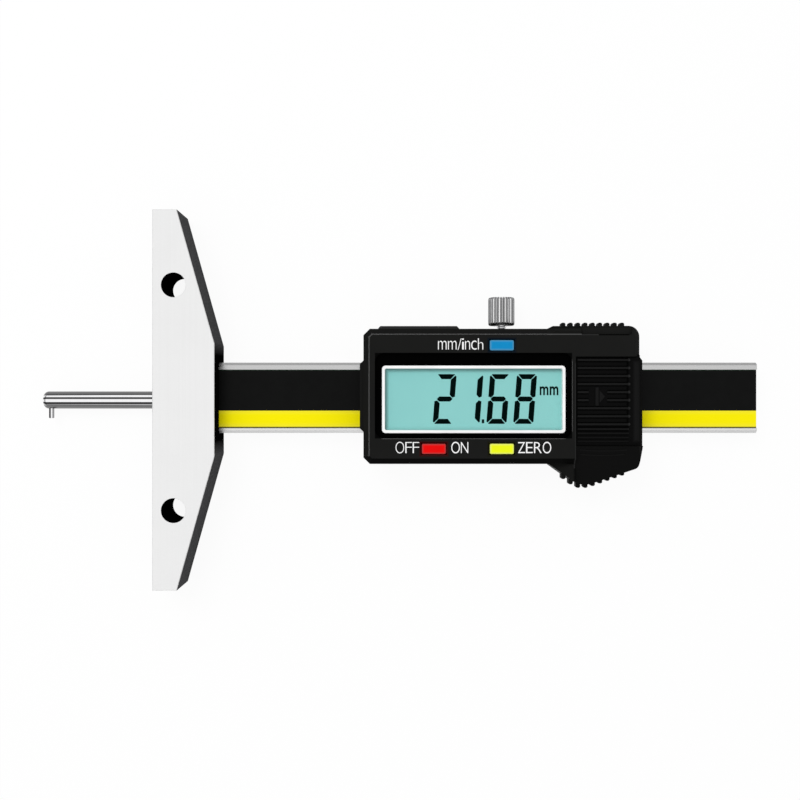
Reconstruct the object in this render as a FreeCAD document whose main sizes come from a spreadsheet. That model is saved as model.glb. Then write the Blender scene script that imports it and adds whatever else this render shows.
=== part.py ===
import FreeCAD, Part
import os
import re
import Sketcher

# Digital depth gauge with a hooked rod, lying on its back, in millimetres.
# x runs along the beam and starts at the measuring face of the base, y runs across the beam
# and is 0 on the rod's axis, z is 0 on the plane the gauge lies on and rises to the display.

sizes = {
    # base: a bar with one flat measuring face and two slanted shoulders
    "base_length": 84.5, "base_width": 13.8, "base_thick": 12.0, "base_end_width": 5.4,
    "base_flat_length": 24.9, "base_bevel": 0.12,
    "hole_spacing": 50.0, "hole_radius": 2.75, "hole_from_face": 4.7,
    # beam: a flat steel bar, a shallow trough in front for the scale and a groove behind for the rod
    "beam_start": 4.0, "beam_end": 135.9, "beam_width": 16.0, "beam_thick": 4.0, "beam_low": 2.5,
    "beam_shift": 0.5, "beam_bevel": 0.6, "tail_bevel": 0.15,
    "trough_depth": 0.45, "upper_land": 1.6, "lower_land": 1.1, "trough_play": 0.05,
    "groove_half": 2.15, "groove_top": 5.1,
    "board_thick": 0.32, "label_thick": 0.12, "label_margin": 0.15,
    # countersunk screws: shank radius, and the head's extra radius, which is its height too
    "base_screw_radius": 1.45, "base_screw_flare": 1.3, "base_screw_end": 5.6,
    "base_screw_x": 9.0, "base_screw_half": 5.0,
    "small_screw_radius": 0.95, "small_screw_flare": 0.9, "screw_play": 0.05, "slot_width": 0.5,
    "slot_depth": 0.5,
    # stop plate on the back of the beam's tail
    "stop_start": 131.4, "stop_end": 135.4, "stop_half": 7.0, "stop_thick": 1.3, "stop_bevel": 0.4,
    "stop_screw_x": 133.4, "stop_screw_half": 4.4, "stop_screw_end": 5.4,
    # depth rod and its hook
    "rod_radius": 2.0, "rod_height": 3.0, "rod_reach": 27.0, "rod_end": 106.5, "rod_round": 1.1,
    "rod_play": 0.05, "hook_radius": 0.6, "hook_from_tip": 1.65, "hook_drop": 4.17, "hook_seat": 0.4,
    "hook_play": 0.01,
    "rod_screw_first": 98.0, "rod_screw_last": 104.0, "rod_screw_radius": 0.75,
    "rod_screw_flare": 0.7, "rod_screw_end": 3.9,
    # slider frame and its back plate
    "frame_start": 48.2, "frame_end": 106.2, "frame_low": -12.6, "frame_high": 14.2,
    "frame_bridge_top": 8.0, "frame_rail_top": 6.8, "frame_bridge_low": 6.55,
    "pocket_start": 50.0, "pocket_end": 93.7, "slide_play": 0.05,
    "plate_start": 47.6, "plate_end": 106.8, "plate_low": -13.2, "plate_high": 14.8,
    "plate_thick": 2.45, "plate_bevel": 1.0,
    "housing_screw_left": 53.5, "housing_screw_right": 100.5, "screw_high": 11.8, "screw_low": -10.1,
    "housing_screw_end": 11.4, "plate_screw_left": 61.0, "plate_screw_right": 92.0,
    "plate_screw_end": 5.5,
    # gib strip, its set screws and the lock screw, all on one level
    "gib_start": 50.6, "gib_end": 105.6, "gib_thick": 0.8, "gib_tall": 3.0, "side_level": 4.5,
    "set_screw_left": 72.5, "set_screw_right": 84.0, "set_screw_radius": 1.0, "set_screw_out": 13.2,
    "set_point_radius": 0.6, "set_point_depth": 0.3, "access_radius": 1.2,
    "lock_x": 78.1, "lock_radius": 1.25, "lock_hole_radius": 1.3, "lock_neck_radius": 1.05,
    "lock_neck_start": 15.5, "lock_head_start": 17.0, "lock_head_end": 23.5, "lock_head_radius": 3.0,
    "lock_head_bevel": 0.6, "lock_flute_radius": 0.42, "lock_flute_inset": 0.12, "lock_flutes": 14,
    "lock_clearance": 0.45, "tip_bevel": 0.2,
    "lock_pad_radius": 1.2, "lock_pad_thick": 0.8, "lock_pad_gap": 0.12, "lock_pad_play": 0.03,
    # front housing
    "head_left": 46.87, "head_right": 107.48, "head_low": -14.05, "head_high": 15.65,
    "corner_cut": 1.4, "panel_top": 15.0, "panel_bevel": 1.25, "ceiling": 13.0,
    "cavity_left": 48.15, "cavity_right": 106.25, "cavity_low": -12.65, "cavity_high": 14.25,
    "cavity_split": 93.0, "battery_floor": 8.05,
    "tunnel_play": 0.1, "collar_left": 46.0, "collar_right": 108.4, "collar_top": 12.0,
    "collar_side": 0.8, "collar_low": -7.1, "collar_high": 8.8, "collar_heel": -9.6,
    "grip_start": 87.75, "crown_x": 95.1, "crown_y": -19.35, "heel_x": 107.4, "heel_y": -15.0,
    "crown_round": 4.7, "heel_round": 1.3, "brow_start": 87.6, "brow_ramp": 0.95, "brow_high": 16.3,
    "brow_round": 2.4, "brow_step": 94.6, "brow_step_end": 105.6, "brow_top": 14.2,
    "brow_left_top": 13.2, "brow_back": 14.3,
    "slope_start": -9.9, "slope_end": -19.5, "slope_end_top": 11.5, "facet_top": 13.6,
    "facet_low_top": 10.6, "facet_left": 87.5,
    "tooth_low": 9.2, "tooth_top": 11.5, "tooth_half": 0.48, "tooth_tip_half": 0.22, "tooth_high": 0.87,
    "tooth_first": 91.15, "tooth_pitch": 1.63, "tooth_crown": -19.5,
    "post_radius": 1.45,
    "recess_left": 49.44, "recess_right": 92.47, "recess_low": -8.39, "recess_high": 10.27,
    "recess_floor": 14.0, "recess_round": 2.0,
    "port_lip_low": 6.5, "port_lip_high": 9.5, "port_undercut": 0.4, "port_depth": 0.65,
    "port_end": 68.5, "port_window_left": 55.0, "port_window_right": 63.0,
    "port_window_low": 7.7, "port_window_high": 9.3,
    # display
    "display_x": 71.05, "display_y": 0.135, "ring_length": 40.2, "ring_width": 14.8, "ring_bar": 0.65,
    "ring_top": 14.6, "ring_round": 0.8, "ring_inner_round": 0.35, "ring_soft": 0.15, "ring_play": 0.05,
    "lens_low": 13.35, "lens_top": 14.1,
    "glass_length": 40.0, "glass_width": 15.6, "glass_low": 11.2,
    "holder_length": 41.5, "holder_width": 17.4, "holder_play": 0.05, "holder_room": 37.0,
    "holder_room_width": 10.6, "zebra_length": 36.0, "zebra_width": 1.5, "zebra_half": 6.3,
    # circuit board
    "pcb_left": 50.2, "pcb_right": 92.6, "pcb_low": -12.0, "pcb_high": 13.8, "pcb_thick": 1.0,
    "pcb_hole_radius": 1.6, "chip_size": 7.0, "chip_tall": 1.2, "chip_x": 66.0,
    "crystal_x": 76.0, "crystal_radius": 1.0, "crystal_length": 6.0, "chip_part_x": 82.0,
    "chip_part_pitch": 2.4, "chip_part_length": 1.6, "chip_part_width": 0.8, "chip_part_tall": 0.8,
    "contact_first": 56.6, "contact_pitch": 1.6, "contact_half": 0.45, "contact_back": 11.8,
    "contact_tall": 0.12,
    # push buttons
    "button_length": 5.26, "button_width": 2.25, "button_top": 15.25, "button_play": 0.15,
    "button_round": 0.35, "button_soft": 0.2, "flange_rim": 0.55, "flange_top": 12.95, "flange_thick": 0.8,
    "stem_radius": 0.9, "stem_low": 9.9, "dome_radius": 1.6, "dome_tall": 1.6, "dome_bevel": 0.6,
    "mode_x": 77.15, "mode_y": 11.95, "power_x": 62.3, "power_y": -10.68, "zero_x": 77.15,
    # button cell and its contacts
    "cell_x": 99.4, "cell_y": -0.3, "cell_radius": 5.8, "cell_low": 8.25, "cell_tall": 5.4,
    "cell_bevel": 0.4, "cell_cap_radius": 4.4, "cell_cap_step": 0.25, "well_radius": 5.95,
    "well_depth": 1.0,
    "leaf_thick": 0.25, "leaf_left": 91.85, "leaf_riser": 93.3, "leaf_top": 12.6,
    "plus_low": -1.5, "plus_high": 0.9, "minus_low": -4.4, "minus_high": -2.0, "minus_right": 103.4,
    "slot_play": 0.15,
    # battery cover
    "cover_left": 93.4, "cover_low": -10.0, "cover_high": 9.4, "cover_play": 0.1, "bed_left": 93.35,
    "bed_top": 13.7, "cover_under": 13.75, "cover_top": 14.5, "tongue_reach": 0.5,
    "tongue_top": 14.22, "groove_top_z": 14.3, "flange_bend": 106.8, "flange_right": 108.3,
    "flange_low": 10.1, "flange_shoulder": 13.1, "flange_gap": 0.1, "flange_corner": 0.6,
    "ridge_left": 93.9, "ridge_right": 105.3, "ridge_half": 0.24, "ridge_tall": 0.4,
    "ridge_first": 8.75, "ridge_pitch": 1.76, "ridge_close_pitch": 1.05,
    "arrow_left": 97.65, "arrow_bar": 0.7, "arrow_right": 99.9, "arrow_y": 0.75, "arrow_half": 2.0,
    "arrow_head_half": 1.5, "arrow_gap": 0.45, "arrow_tall": 0.3,
    # data port cover
    "port_cover_left": 49.9, "port_cover_right": 68.2, "port_cover_high": 16.5,
    "port_cover_low_z": 5.0, "port_cover_top_z": 11.0, "port_cover_bevel": 0.6, "port_play": 0.08,
}

# levels and edges worked out from the sizes
beam_lower = "(beam_shift - beam_width / 2)"
beam_upper = "(beam_shift + beam_width / 2)"
beam_top = "(beam_low + beam_thick)"
trough_floor = "(beam_low + beam_thick - trough_depth)"
channel_low = "(beam_shift - beam_width / 2 - slide_play)"
gib_inner = "(beam_shift + beam_width / 2 + slide_play)"
gib_outer = "(beam_shift + beam_width / 2 + slide_play + gib_thick)"
channel_high = "(beam_shift + beam_width / 2 + 2 * slide_play + gib_thick)"
gib_low = "(side_level - gib_tall / 2)"
gib_top = "(side_level + gib_tall / 2)"
pcb_top = "(frame_rail_top + pcb_thick)"
bore_radius = "(rod_radius + rod_play)"

tooth_count = 9
ridge_count = 9
close_ridge_count = 3
small_part_count = 3
port_contact_count = 4

doc = FreeCAD.newDocument("depth_gauge")
sheet = doc.addObject("Spreadsheet::Sheet", "dims")
for row, (alias, number) in enumerate(sizes.items(), start=1):
    sheet.set(f"A{row}", alias)
    sheet.set(f"B{row}", str(number))
    sheet.setAlias(f"B{row}", alias)
doc.recompute()
pieces = []


def bound(expression):
    """The expression with the sheet's name put before each alias."""
    return re.sub(r"\b(?!max\b)[a-z]\w*", r"dims.\g<0>", expression)


def number_of(expression):
    return float(sheet.evalExpression(bound(expression)))


# ---- sketches: closed outlines whose every corner is tied to the sheet ----

def polygon(*corners):
    return ("polygon", corners)


def rectangle(left, right, low, high):
    return polygon((left, low), (right, low), (right, high), (left, high))


def disc(across, up, radius):
    return ("disc", (across, up, radius))


def tie(sketch, edge, point, across, up):
    """Fixes one point of an edge at its distances from the sketch's origin."""
    for kind, expression in (("DistanceX", across), ("DistanceY", up)):
        distance = Sketcher.Constraint(kind, -1, 1, edge, point, number_of(expression))
        index = sketch.addConstraint(distance)
        sketch.setExpression(f"Constraints[{index}]", bound(expression))


def draw_polygon(sketch, corners):
    places = [FreeCAD.Vector(number_of(across), number_of(up), 0) for across, up in corners]
    first = sketch.GeometryCount
    count = len(corners)
    for index, place in enumerate(places):
        sketch.addGeometry(Part.LineSegment(place, places[(index + 1) % count]), False)
    for index, (across, up) in enumerate(corners):
        following = first + (index + 1) % count
        sketch.addConstraint(Sketcher.Constraint("Coincident", first + index, 2, following, 1))
        tie(sketch, first + index, 1, across, up)


def draw_disc(sketch, across, up, radius):
    centre = FreeCAD.Vector(number_of(across), number_of(up), 0)
    circle = Part.Circle(centre, FreeCAD.Vector(0, 0, 1), number_of(radius))
    edge = sketch.addGeometry(circle, False)
    index = sketch.addConstraint(Sketcher.Constraint("Radius", edge, number_of(radius)))
    sketch.setExpression(f"Constraints[{index}]", bound(radius))
    tie(sketch, edge, 3, across, up)


def origin_part(body, role):
    return [item for item in body.Origin.OriginFeatures if item.Role == role][0]


def new_sketch(body, name, plane, offset, outlines):
    """A sketch on one of the body's origin planes, lifted along the row axis it faces."""
    sketch = body.newObject("Sketcher::SketchObject", name + "_outline")
    sketch.AttachmentSupport = [(origin_part(body, plane + "_Plane"), "")]
    sketch.MapMode = "FlatFace"
    sign = "-1" if plane == "XZ" else "1"
    sketch.setExpression("AttachmentOffset.Base.z", bound(f"{sign} * ({offset})"))
    for kind, detail in outlines:
        if kind == "polygon":
            draw_polygon(sketch, detail)
        else:
            draw_disc(sketch, *detail)
    return sketch


# ---- solid features ----

def new_body(label):
    body = doc.addObject("PartDesign::Body", label)
    body.Label = label
    return body


def grow(body, name, plane, low, high, *outlines):
    """Adds the outlines' solid between two places on the axis that the plane faces."""
    pad = body.newObject("PartDesign::Pad", name)
    pad.Profile = new_sketch(body, name, plane, low, outlines)
    pad.setExpression("Length", bound(f"({high}) - ({low})"))
    pad.Reversed = plane == "XZ"
    body.Tip = pad
    doc.recompute()


def carve(body, name, plane, low, high, *outlines):
    """Cuts the outlines away between two places on the axis that the plane faces."""
    before = body.Shape.Volume
    pocket = body.newObject("PartDesign::Pocket", name)
    pocket.Profile = new_sketch(body, name, plane, low, outlines)
    pocket.setExpression("Length", bound(f"({high}) - ({low})"))
    pocket.Reversed = plane != "XZ"
    body.Tip = pocket
    doc.recompute()
    if body.Shape.Volume > before - 1e-4:
        raise ValueError(f"{body.Label}: {name} cuts nothing")


def spin(body, name, *corners):
    """Turns an outline of (radius, height) corners about the body's own z axis."""
    outline = new_sketch(body, name, "XZ", "0", [polygon(*corners)])
    turned = body.newObject("PartDesign::Revolution", name)
    turned.Profile = outline
    turned.ReferenceAxis = (outline, ["V_Axis"])
    turned.Angle = 360
    body.Tip = turned
    doc.recompute()


def dress(body, kind, name, size, wanted):
    """Chamfers or rounds the edges that wanted picks out."""
    base = body.Tip
    names = [f"Edge{place}" for place, edge in enumerate(base.Shape.Edges, start=1) if wanted(edge)]
    if not names:
        raise ValueError(f"{body.Label}: {name} finds no edge")
    feature = body.newObject("PartDesign::" + kind, name)
    feature.Base = (base, names)
    feature.setExpression("Size" if kind == "Chamfer" else "Radius", bound(size))
    body.Tip = feature
    doc.recompute()


def box_of(edge):
    return edge.BoundBox


def is_level(edge, height):
    box = box_of(edge)
    return abs(box.ZMin - height) < 1e-4 and abs(box.ZMax - height) < 1e-4


def is_upright_at(edge, across, along):
    box = box_of(edge)
    beside = abs(box.XMin - across) < 1e-3 and abs(box.YMin - along) < 1e-3
    return beside and box.XLength < 1e-3 and box.YLength < 1e-3


def is_round(edge):
    return isinstance(edge.Curve, Part.Circle)


def upright_edges(*places):
    corners = [(number_of(across), number_of(along)) for across, along in places]
    return lambda edge: any(is_upright_at(edge, across, along) for across, along in corners)


def lay_along_y(item):
    item.Placement = FreeCAD.Placement(FreeCAD.Vector(), FreeCAD.Rotation(FreeCAD.Vector(1, 0, 0), -90))


def place_at(item, across, along, height):
    item.setExpression("Placement.Base.x", bound(across))
    item.setExpression("Placement.Base.y", bound(along))
    item.setExpression("Placement.Base.z", bound(height))


def keep(item):
    pieces.append(item)
    return item


def block(label, left, right, low, high, under, top):
    """A plain rectangular piece."""
    box = doc.addObject("Part::Box", label)
    box.Label = label
    box.setExpression("Length", bound(f"({right}) - ({left})"))
    box.setExpression("Width", bound(f"({high}) - ({low})"))
    box.setExpression("Height", bound(f"({top}) - ({under})"))
    place_at(box, left, low, under)
    return box


def group(label, members):
    """Alike pieces that stay separate solids in one node."""
    together = doc.addObject("Part::Compound", label)
    together.Label = label
    together.Links = members
    return keep(together)


def countersunk_screw(label, across, along, under, radius, flare, end):
    """A slotted screw put in from behind: its flat head is at the height under."""
    screw = new_body(label)
    spin(screw, "profile_" + label,
         ("0", "0"), (f"{radius} + {flare}", "0"), (radius, flare),
         (radius, f"({end}) - ({under})"), ("0", f"({end}) - ({under})"))
    reach = f"{radius} + {flare}"
    carve(screw, "slot_" + label, "XY", "0", "slot_depth",
          rectangle(f"-1 * ({reach})", reach, "-1 * slot_width / 2", "slot_width / 2"))
    place_at(screw, across, along, under)
    return screw


def screw_group(label, places, under, radius, flare, end):
    members = []
    for index, (across, along) in enumerate(places, start=1):
        members.append(countersunk_screw(f"{label}_{index}", across, along, under, radius, flare, end))
    group(label, members)


def flare_holes(body, name, flare, under, places, radius):
    """Countersinks the holes of that radius whose mouths lie at the height under."""
    height = number_of(under)
    reach = number_of(radius)
    centres = [(number_of(across), number_of(along)) for across, along in places]

    def wanted(edge):
        if not is_round(edge) or not is_level(edge, height):
            return False
        centre = edge.Curve.Center
        near = any(abs(centre.x - x) + abs(centre.y - y) < 1e-3 for x, y in centres)
        return near and abs(edge.Curve.Radius - reach) < 1e-3

    dress(body, "Chamfer", name, flare, wanted)


# ---- base, beam and what is fixed to them ----

base_screw_places = [("base_screw_x", f"beam_shift {sign} base_screw_half") for sign in "-+"]
stop_screw_places = [("stop_screw_x", f"beam_shift {sign} stop_screw_half") for sign in "-+"]


def make_base():
    base = keep(new_body("base"))
    end = "base_length / 2"
    flat = "base_flat_length / 2"
    grow(base, "bar", "XY", "0", "base_thick",
         polygon(("0", f"-1 * {end}"), ("base_end_width", f"-1 * {end}"),
                 ("base_width", f"-1 * {flat}"), ("base_width", flat),
                 ("base_end_width", end), ("0", end)))
    dress(base, "Chamfer", "rim", "base_bevel",
          lambda edge: is_level(edge, 0) or is_level(edge, number_of("base_thick")))
    carve(base, "mount_holes", "XY", "0", "base_thick",
          *[disc("hole_from_face", f"beam_shift {sign} hole_spacing / 2", "hole_radius") for sign in "-+"])
    carve(base, "rod_bore", "YZ", "0", "base_width", disc("0", "rod_height", bore_radius))
    carve(base, "beam_seat", "YZ", "beam_start", "base_width",
          rectangle(beam_lower, beam_upper, "beam_low", beam_top))
    shank = "base_screw_radius + screw_play"
    carve(base, "screw_holes", "XY", "0", "beam_low",
          *[disc(across, along, shank) for across, along in base_screw_places])
    flare_holes(base, "countersinks", "base_screw_flare", "0", base_screw_places, shank)


def make_beam():
    beam = keep(new_body("beam"))
    left = f"{beam_lower} + lower_land"
    right = f"{beam_upper} - upper_land"
    grow(beam, "bar", "YZ", "beam_start", "beam_end",
         polygon((beam_lower, "beam_low"), ("-1 * groove_half", "beam_low"),
                 ("-1 * groove_half", "groove_top"), ("groove_half", "groove_top"),
                 ("groove_half", "beam_low"), (beam_upper, "beam_low"),
                 (beam_upper, f"{beam_top} - beam_bevel"), (f"{beam_upper} - beam_bevel", beam_top),
                 (right, beam_top), (right, trough_floor), (left, trough_floor), (left, beam_top),
                 (f"{beam_lower} + beam_bevel", beam_top), (beam_lower, f"{beam_top} - beam_bevel")))
    tail = number_of("beam_end")
    sides = (number_of(beam_lower), number_of(beam_upper))

    def is_tail_side(edge):
        box = box_of(edge)
        at_side = any(abs(box.YMin - side) + abs(box.YMax - side) < 1e-3 for side in sides)
        return at_side and box.XMin > tail - 1e-3

    dress(beam, "Chamfer", "tail_corners", "tail_bevel", is_tail_side)
    carve(beam, "base_screw_holes", "XY", "beam_low", "base_screw_end + screw_play",
          *[disc(across, along, "base_screw_radius + screw_play") for across, along in base_screw_places])
    carve(beam, "stop_screw_holes", "XY", "beam_low", "stop_screw_end + screw_play",
          *[disc(across, along, "small_screw_radius + screw_play") for across, along in stop_screw_places])


def make_scale():
    low = f"{beam_lower} + lower_land"
    high = f"{beam_upper} - upper_land"
    board_top = f"{trough_floor} + board_thick"
    keep(block("scale_board", "beam_start", "beam_end - tail_bevel",
               f"{low} + trough_play", f"{high} - trough_play", trough_floor, board_top))
    keep(block("scale_label", "beam_start", "beam_end - tail_bevel",
               f"{low} + label_margin", f"{high} - label_margin", board_top,
               f"{board_top} + label_thick"))


def make_stop():
    plate = keep(new_body("stop_plate"))
    under = "beam_low - stop_thick"
    grow(plate, "slab", "XY", under, "beam_low",
         rectangle("stop_start", "stop_end", "beam_shift - stop_half", "beam_shift + stop_half"))
    dress(plate, "Chamfer", "corners", "stop_bevel",
          upright_edges(*[(f"stop_{across}", f"beam_shift {along} stop_half")
                          for across in ("start", "end") for along in "-+"]))
    shank = "small_screw_radius + screw_play"
    carve(plate, "screw_holes", "XY", under, "beam_low",
          *[disc(across, along, shank) for across, along in stop_screw_places])
    flare_holes(plate, "countersinks", "small_screw_flare", under, stop_screw_places, shank)
    screw_group("stop_screws", stop_screw_places, under,
                "small_screw_radius", "small_screw_flare", "stop_screw_end")


# ---- depth rod with its hook ----

rod_screw_places = [("rod_screw_first", "0"), ("rod_screw_last", "0")]


def make_rod():
    rod = keep(new_body("depth_rod"))
    tip = "-1 * rod_reach"
    grow(rod, "shaft", "YZ", tip, "rod_end", disc("0", "rod_height", "rod_radius"))
    dress(rod, "Fillet", "tip_round", "rod_round",
          lambda edge: abs(box_of(edge).XMax - number_of(tip)) < 1e-3)
    carve(rod, "hook_hole", "XZ", "-1 * rod_radius", "hook_seat",
          disc(f"{tip} + hook_from_tip", "rod_height", "hook_radius + hook_play"))
    carve(rod, "screw_holes", "XY", "rod_height - rod_radius", "rod_screw_end + screw_play",
          *[disc(across, along, "rod_screw_radius + screw_play") for across, along in rod_screw_places])
    hook = keep(new_body("hook_pin"))
    grow(hook, "pin", "XZ", "-1 * hook_drop", "hook_seat",
         disc(f"{tip} + hook_from_tip", "rod_height", "hook_radius"))


# ---- slider: steel frame, back plate, gib and their screws ----

housing_screw_places = [(f"housing_screw_{side}", f"screw_{level}")
                        for side in ("left", "right") for level in ("low", "high")]
plate_screw_places = [(f"plate_screw_{side}", f"screw_{level}")
                      for side in ("left", "right") for level in ("low", "high")]
set_screw_places = ["set_screw_left", "set_screw_right"]


def make_slider_frame():
    frame = keep(new_body("slider_frame"))
    grow(frame, "block", "XY", "plate_thick", "frame_bridge_top",
         rectangle("frame_start", "frame_end", "frame_low", "frame_high"))
    carve(frame, "beam_channel", "YZ", "frame_start", "frame_end",
          rectangle(channel_low, channel_high, "plate_thick", "frame_bridge_low"))
    carve(frame, "board_pocket", "XY", "frame_rail_top", "frame_bridge_top",
          rectangle("pocket_start", "pocket_end", "frame_low", "frame_high"))
    carve(frame, "sensor_window", "XY", "frame_bridge_low", "frame_rail_top",
          rectangle("pocket_start", "pocket_end", channel_low, channel_high))
    shank = "small_screw_radius + screw_play"
    carve(frame, "housing_screw_holes", "XY", "plate_thick", "frame_bridge_top",
          *[disc(across, along, shank) for across, along in housing_screw_places])
    carve(frame, "plate_screw_holes", "XY", "plate_thick", "plate_screw_end + screw_play",
          *[disc(across, along, shank) for across, along in plate_screw_places])
    carve(frame, "side_holes", "XZ", channel_high, "frame_high",
          disc("lock_x", "side_level", "lock_hole_radius"),
          *[disc(across, "side_level", "set_screw_radius + screw_play") for across in set_screw_places])


def make_back_plate():
    plate = keep(new_body("back_plate"))
    grow(plate, "slab", "XY", "0", "plate_thick",
         rectangle("plate_start", "plate_end", "plate_low", "plate_high"))
    dress(plate, "Chamfer", "corners", "plate_bevel",
          upright_edges(*[(f"plate_{across}", f"plate_{along}")
                          for across in ("start", "end") for along in ("low", "high")]))
    dress(plate, "Chamfer", "rim", "stop_bevel", lambda edge: is_level(edge, 0))
    carve(plate, "rod_groove", "YZ", "plate_start", "plate_end", disc("0", "rod_height", bore_radius))
    shank = "small_screw_radius + screw_play"
    places = housing_screw_places + plate_screw_places
    carve(plate, "screw_holes", "XY", "0", "plate_thick",
          *[disc(across, along, shank) for across, along in places])
    flare_holes(plate, "countersinks", "small_screw_flare", "0", places, shank)
    rod_shank = "rod_screw_radius + screw_play"
    carve(plate, "rod_screw_holes", "XY", "0", "plate_thick",
          *[disc(across, along, rod_shank) for across, along in rod_screw_places])
    flare_holes(plate, "rod_countersinks", "rod_screw_flare", "0", rod_screw_places, rod_shank)


def make_slider_screws():
    screw_group("housing_screws", housing_screw_places, "0",
                "small_screw_radius", "small_screw_flare", "housing_screw_end")
    screw_group("plate_screws", plate_screw_places, "0",
                "small_screw_radius", "small_screw_flare", "plate_screw_end")
    screw_group("rod_screws", rod_screw_places, "0",
                "rod_screw_radius", "rod_screw_flare", "rod_screw_end")


def make_gib():
    gib = keep(new_body("gib_strip"))
    grow(gib, "strip", "XY", gib_low, gib_top, rectangle("gib_start", "gib_end", gib_inner, gib_outer))
    carve(gib, "point_seats", "XZ", f"{gib_outer} - set_point_depth", gib_outer,
          *[disc(across, "side_level", "set_point_radius + screw_play") for across in set_screw_places])
    members = []
    for index, across in enumerate(set_screw_places, start=1):
        screw = new_body(f"gib_set_screw_{index}")
        grow(screw, f"thread_{index}", "XZ", channel_high, "set_screw_out",
             disc(across, "side_level", "set_screw_radius"))
        grow(screw, f"point_{index}", "XZ", f"{gib_outer} - set_point_depth", channel_high,
             disc(across, "side_level", "set_point_radius"))
        carve(screw, f"slot_{index}", "XZ", "set_screw_out - slot_depth", "set_screw_out",
              rectangle(f"{across} - set_screw_radius", f"{across} + set_screw_radius",
                        "side_level - slot_width / 2", "side_level + slot_width / 2"))
        members.append(screw)
    group("gib_set_screws", members)


# ---- lock screw and the brass pad at its tip ----

lock_pad_start = f"({gib_outer} + lock_pad_gap)"
lock_pad_end = f"({gib_outer} + lock_pad_gap + lock_pad_thick)"


def make_lock():
    pad = keep(new_body("lock_pad"))
    grow(pad, "button", "XZ", lock_pad_start, lock_pad_end,
         disc("lock_x", "side_level", "lock_pad_radius"))

    # the screw is turned about its own z axis and laid along y
    screw = keep(new_body("lock_screw"))
    tip = f"({lock_pad_end} + lock_pad_play)"
    neck = f"lock_neck_start - {tip}"
    head = f"lock_head_start - {tip}"
    end = f"lock_head_end - {tip}"
    spin(screw, "profile",
         ("0", "0"), ("lock_radius - tip_bevel", "0"), ("lock_radius", "tip_bevel"),
         ("lock_radius", neck), ("lock_neck_radius", neck), ("lock_neck_radius", head),
         ("lock_head_radius - lock_head_bevel", head),
         ("lock_head_radius", f"{head} + lock_head_bevel"),
         ("lock_head_radius", f"{end} - lock_head_bevel"),
         ("lock_head_radius - lock_head_bevel", end), ("0", end))
    carve(screw, "flute", "XY", head, end,
          disc("lock_head_radius + lock_flute_inset", "0", "lock_flute_radius"))
    knurl = screw.newObject("PartDesign::PolarPattern", "knurl")
    knurl.Originals = [screw.Tip]
    knurl.Axis = (origin_part(screw, "Z_Axis"), [""])
    knurl.Angle = 360
    knurl.setExpression("Occurrences", bound("lock_flutes"))
    screw.Tip = knurl
    lay_along_y(screw)
    place_at(screw, "lock_x", tip, "side_level")


# ---- front housing ----

button_places = [("mode_x", "mode_y"), ("power_x", "power_y"), ("zero_x", "power_y")]


def make_front_housing():
    housing = keep(new_body("front_housing"))
    grow(housing, "shell", "XY", "plate_thick", "panel_top",
         polygon(("head_left", "head_low + corner_cut"), ("head_left + corner_cut", "head_low"),
                 ("grip_start", "head_low"), ("crown_x", "crown_y"), ("heel_x", "heel_y"),
                 ("collar_right", "collar_heel"), ("collar_right", "collar_high - collar_side"),
                 ("head_right", "collar_high"), ("head_right", "brow_high"),
                 ("brow_start + brow_ramp", "brow_high"), ("brow_start", "head_high"),
                 ("head_left + corner_cut", "head_high"), ("head_left", "head_high - corner_cut")))
    dress(housing, "Fillet", "crown_edge", "crown_round", upright_edges(("crown_x", "crown_y")))
    dress(housing, "Fillet", "heel_edge", "heel_round", upright_edges(("heel_x", "heel_y")))
    dress(housing, "Fillet", "brow_edge", "brow_round", upright_edges(("head_right", "brow_high")))
    dress(housing, "Chamfer", "panel_rim", "panel_bevel",
          lambda edge: is_level(edge, number_of("panel_top")))
    shape_grips(housing)
    hollow_housing(housing)
    open_panel(housing)
    seat_battery_cover(housing)
    cut_side_openings(housing)


def shape_grips(housing):
    """The lower bulge slopes down from the panel, and both edges carry finger teeth."""
    deep = "crown_y - panel_top"
    fall = "(slope_start - slope_end) / (panel_top - slope_end_top)"
    high = "2 * panel_top"
    carve(housing, "bulge_slope", "YZ", "bed_left", "heel_x + panel_top",
          polygon(("slope_start", "panel_top"), ("slope_start", high), (deep, high),
                  (deep, f"panel_top - (slope_start - ({deep})) / ({fall})")))
    carve(housing, "bulge_facet", "XZ", deep, "head_low",
          polygon(("bed_left", high), ("bed_left", "facet_top"), ("facet_left", "facet_low_top"),
                  ("facet_left", high)))
    carve(housing, "brow_left_top", "XY", "brow_left_top", high,
          rectangle("brow_start", "brow_step", "head_high", "brow_high + tooth_high"))
    carve(housing, "brow_right_top", "XY", "brow_top", high,
          rectangle("brow_step", "brow_step_end", "brow_back", "brow_high + tooth_high"))
    carve(housing, "panel_foot", "YZ", "facet_left", "bed_left",
          polygon(("head_low - panel_bevel", "panel_top - panel_bevel"),
                  ("head_low", "panel_top - panel_bevel"), ("head_low + panel_bevel", "panel_top"),
                  ("head_low + panel_bevel", high), ("head_low - panel_bevel", high)))
    upper = []
    lower = []
    for place in range(tooth_count):
        centre = f"tooth_first + {place} * tooth_pitch"
        upper.append(tooth(centre, "brow_high + tooth_high", "brow_back", "-1"))
        left_line = (f"head_low + (crown_y - head_low) * ({centre} - grip_start) / (crown_x - grip_start)"
                     " - 1.2 * tooth_high")
        right_line = (f"crown_y + (heel_y - crown_y) * ({centre} - crown_x) / (heel_x - crown_x)"
                      " - 0.75 * tooth_high")
        tip = f"max({left_line}; tooth_crown; {right_line})"
        lower.append(tooth(centre, tip, f"{tip} + 3 * tooth_high", "1"))
    grow(housing, "upper_teeth", "XY", "tooth_low", "tooth_top", *upper)
    grow(housing, "lower_teeth", "XY", "tooth_low", "tooth_top", *lower)


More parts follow.
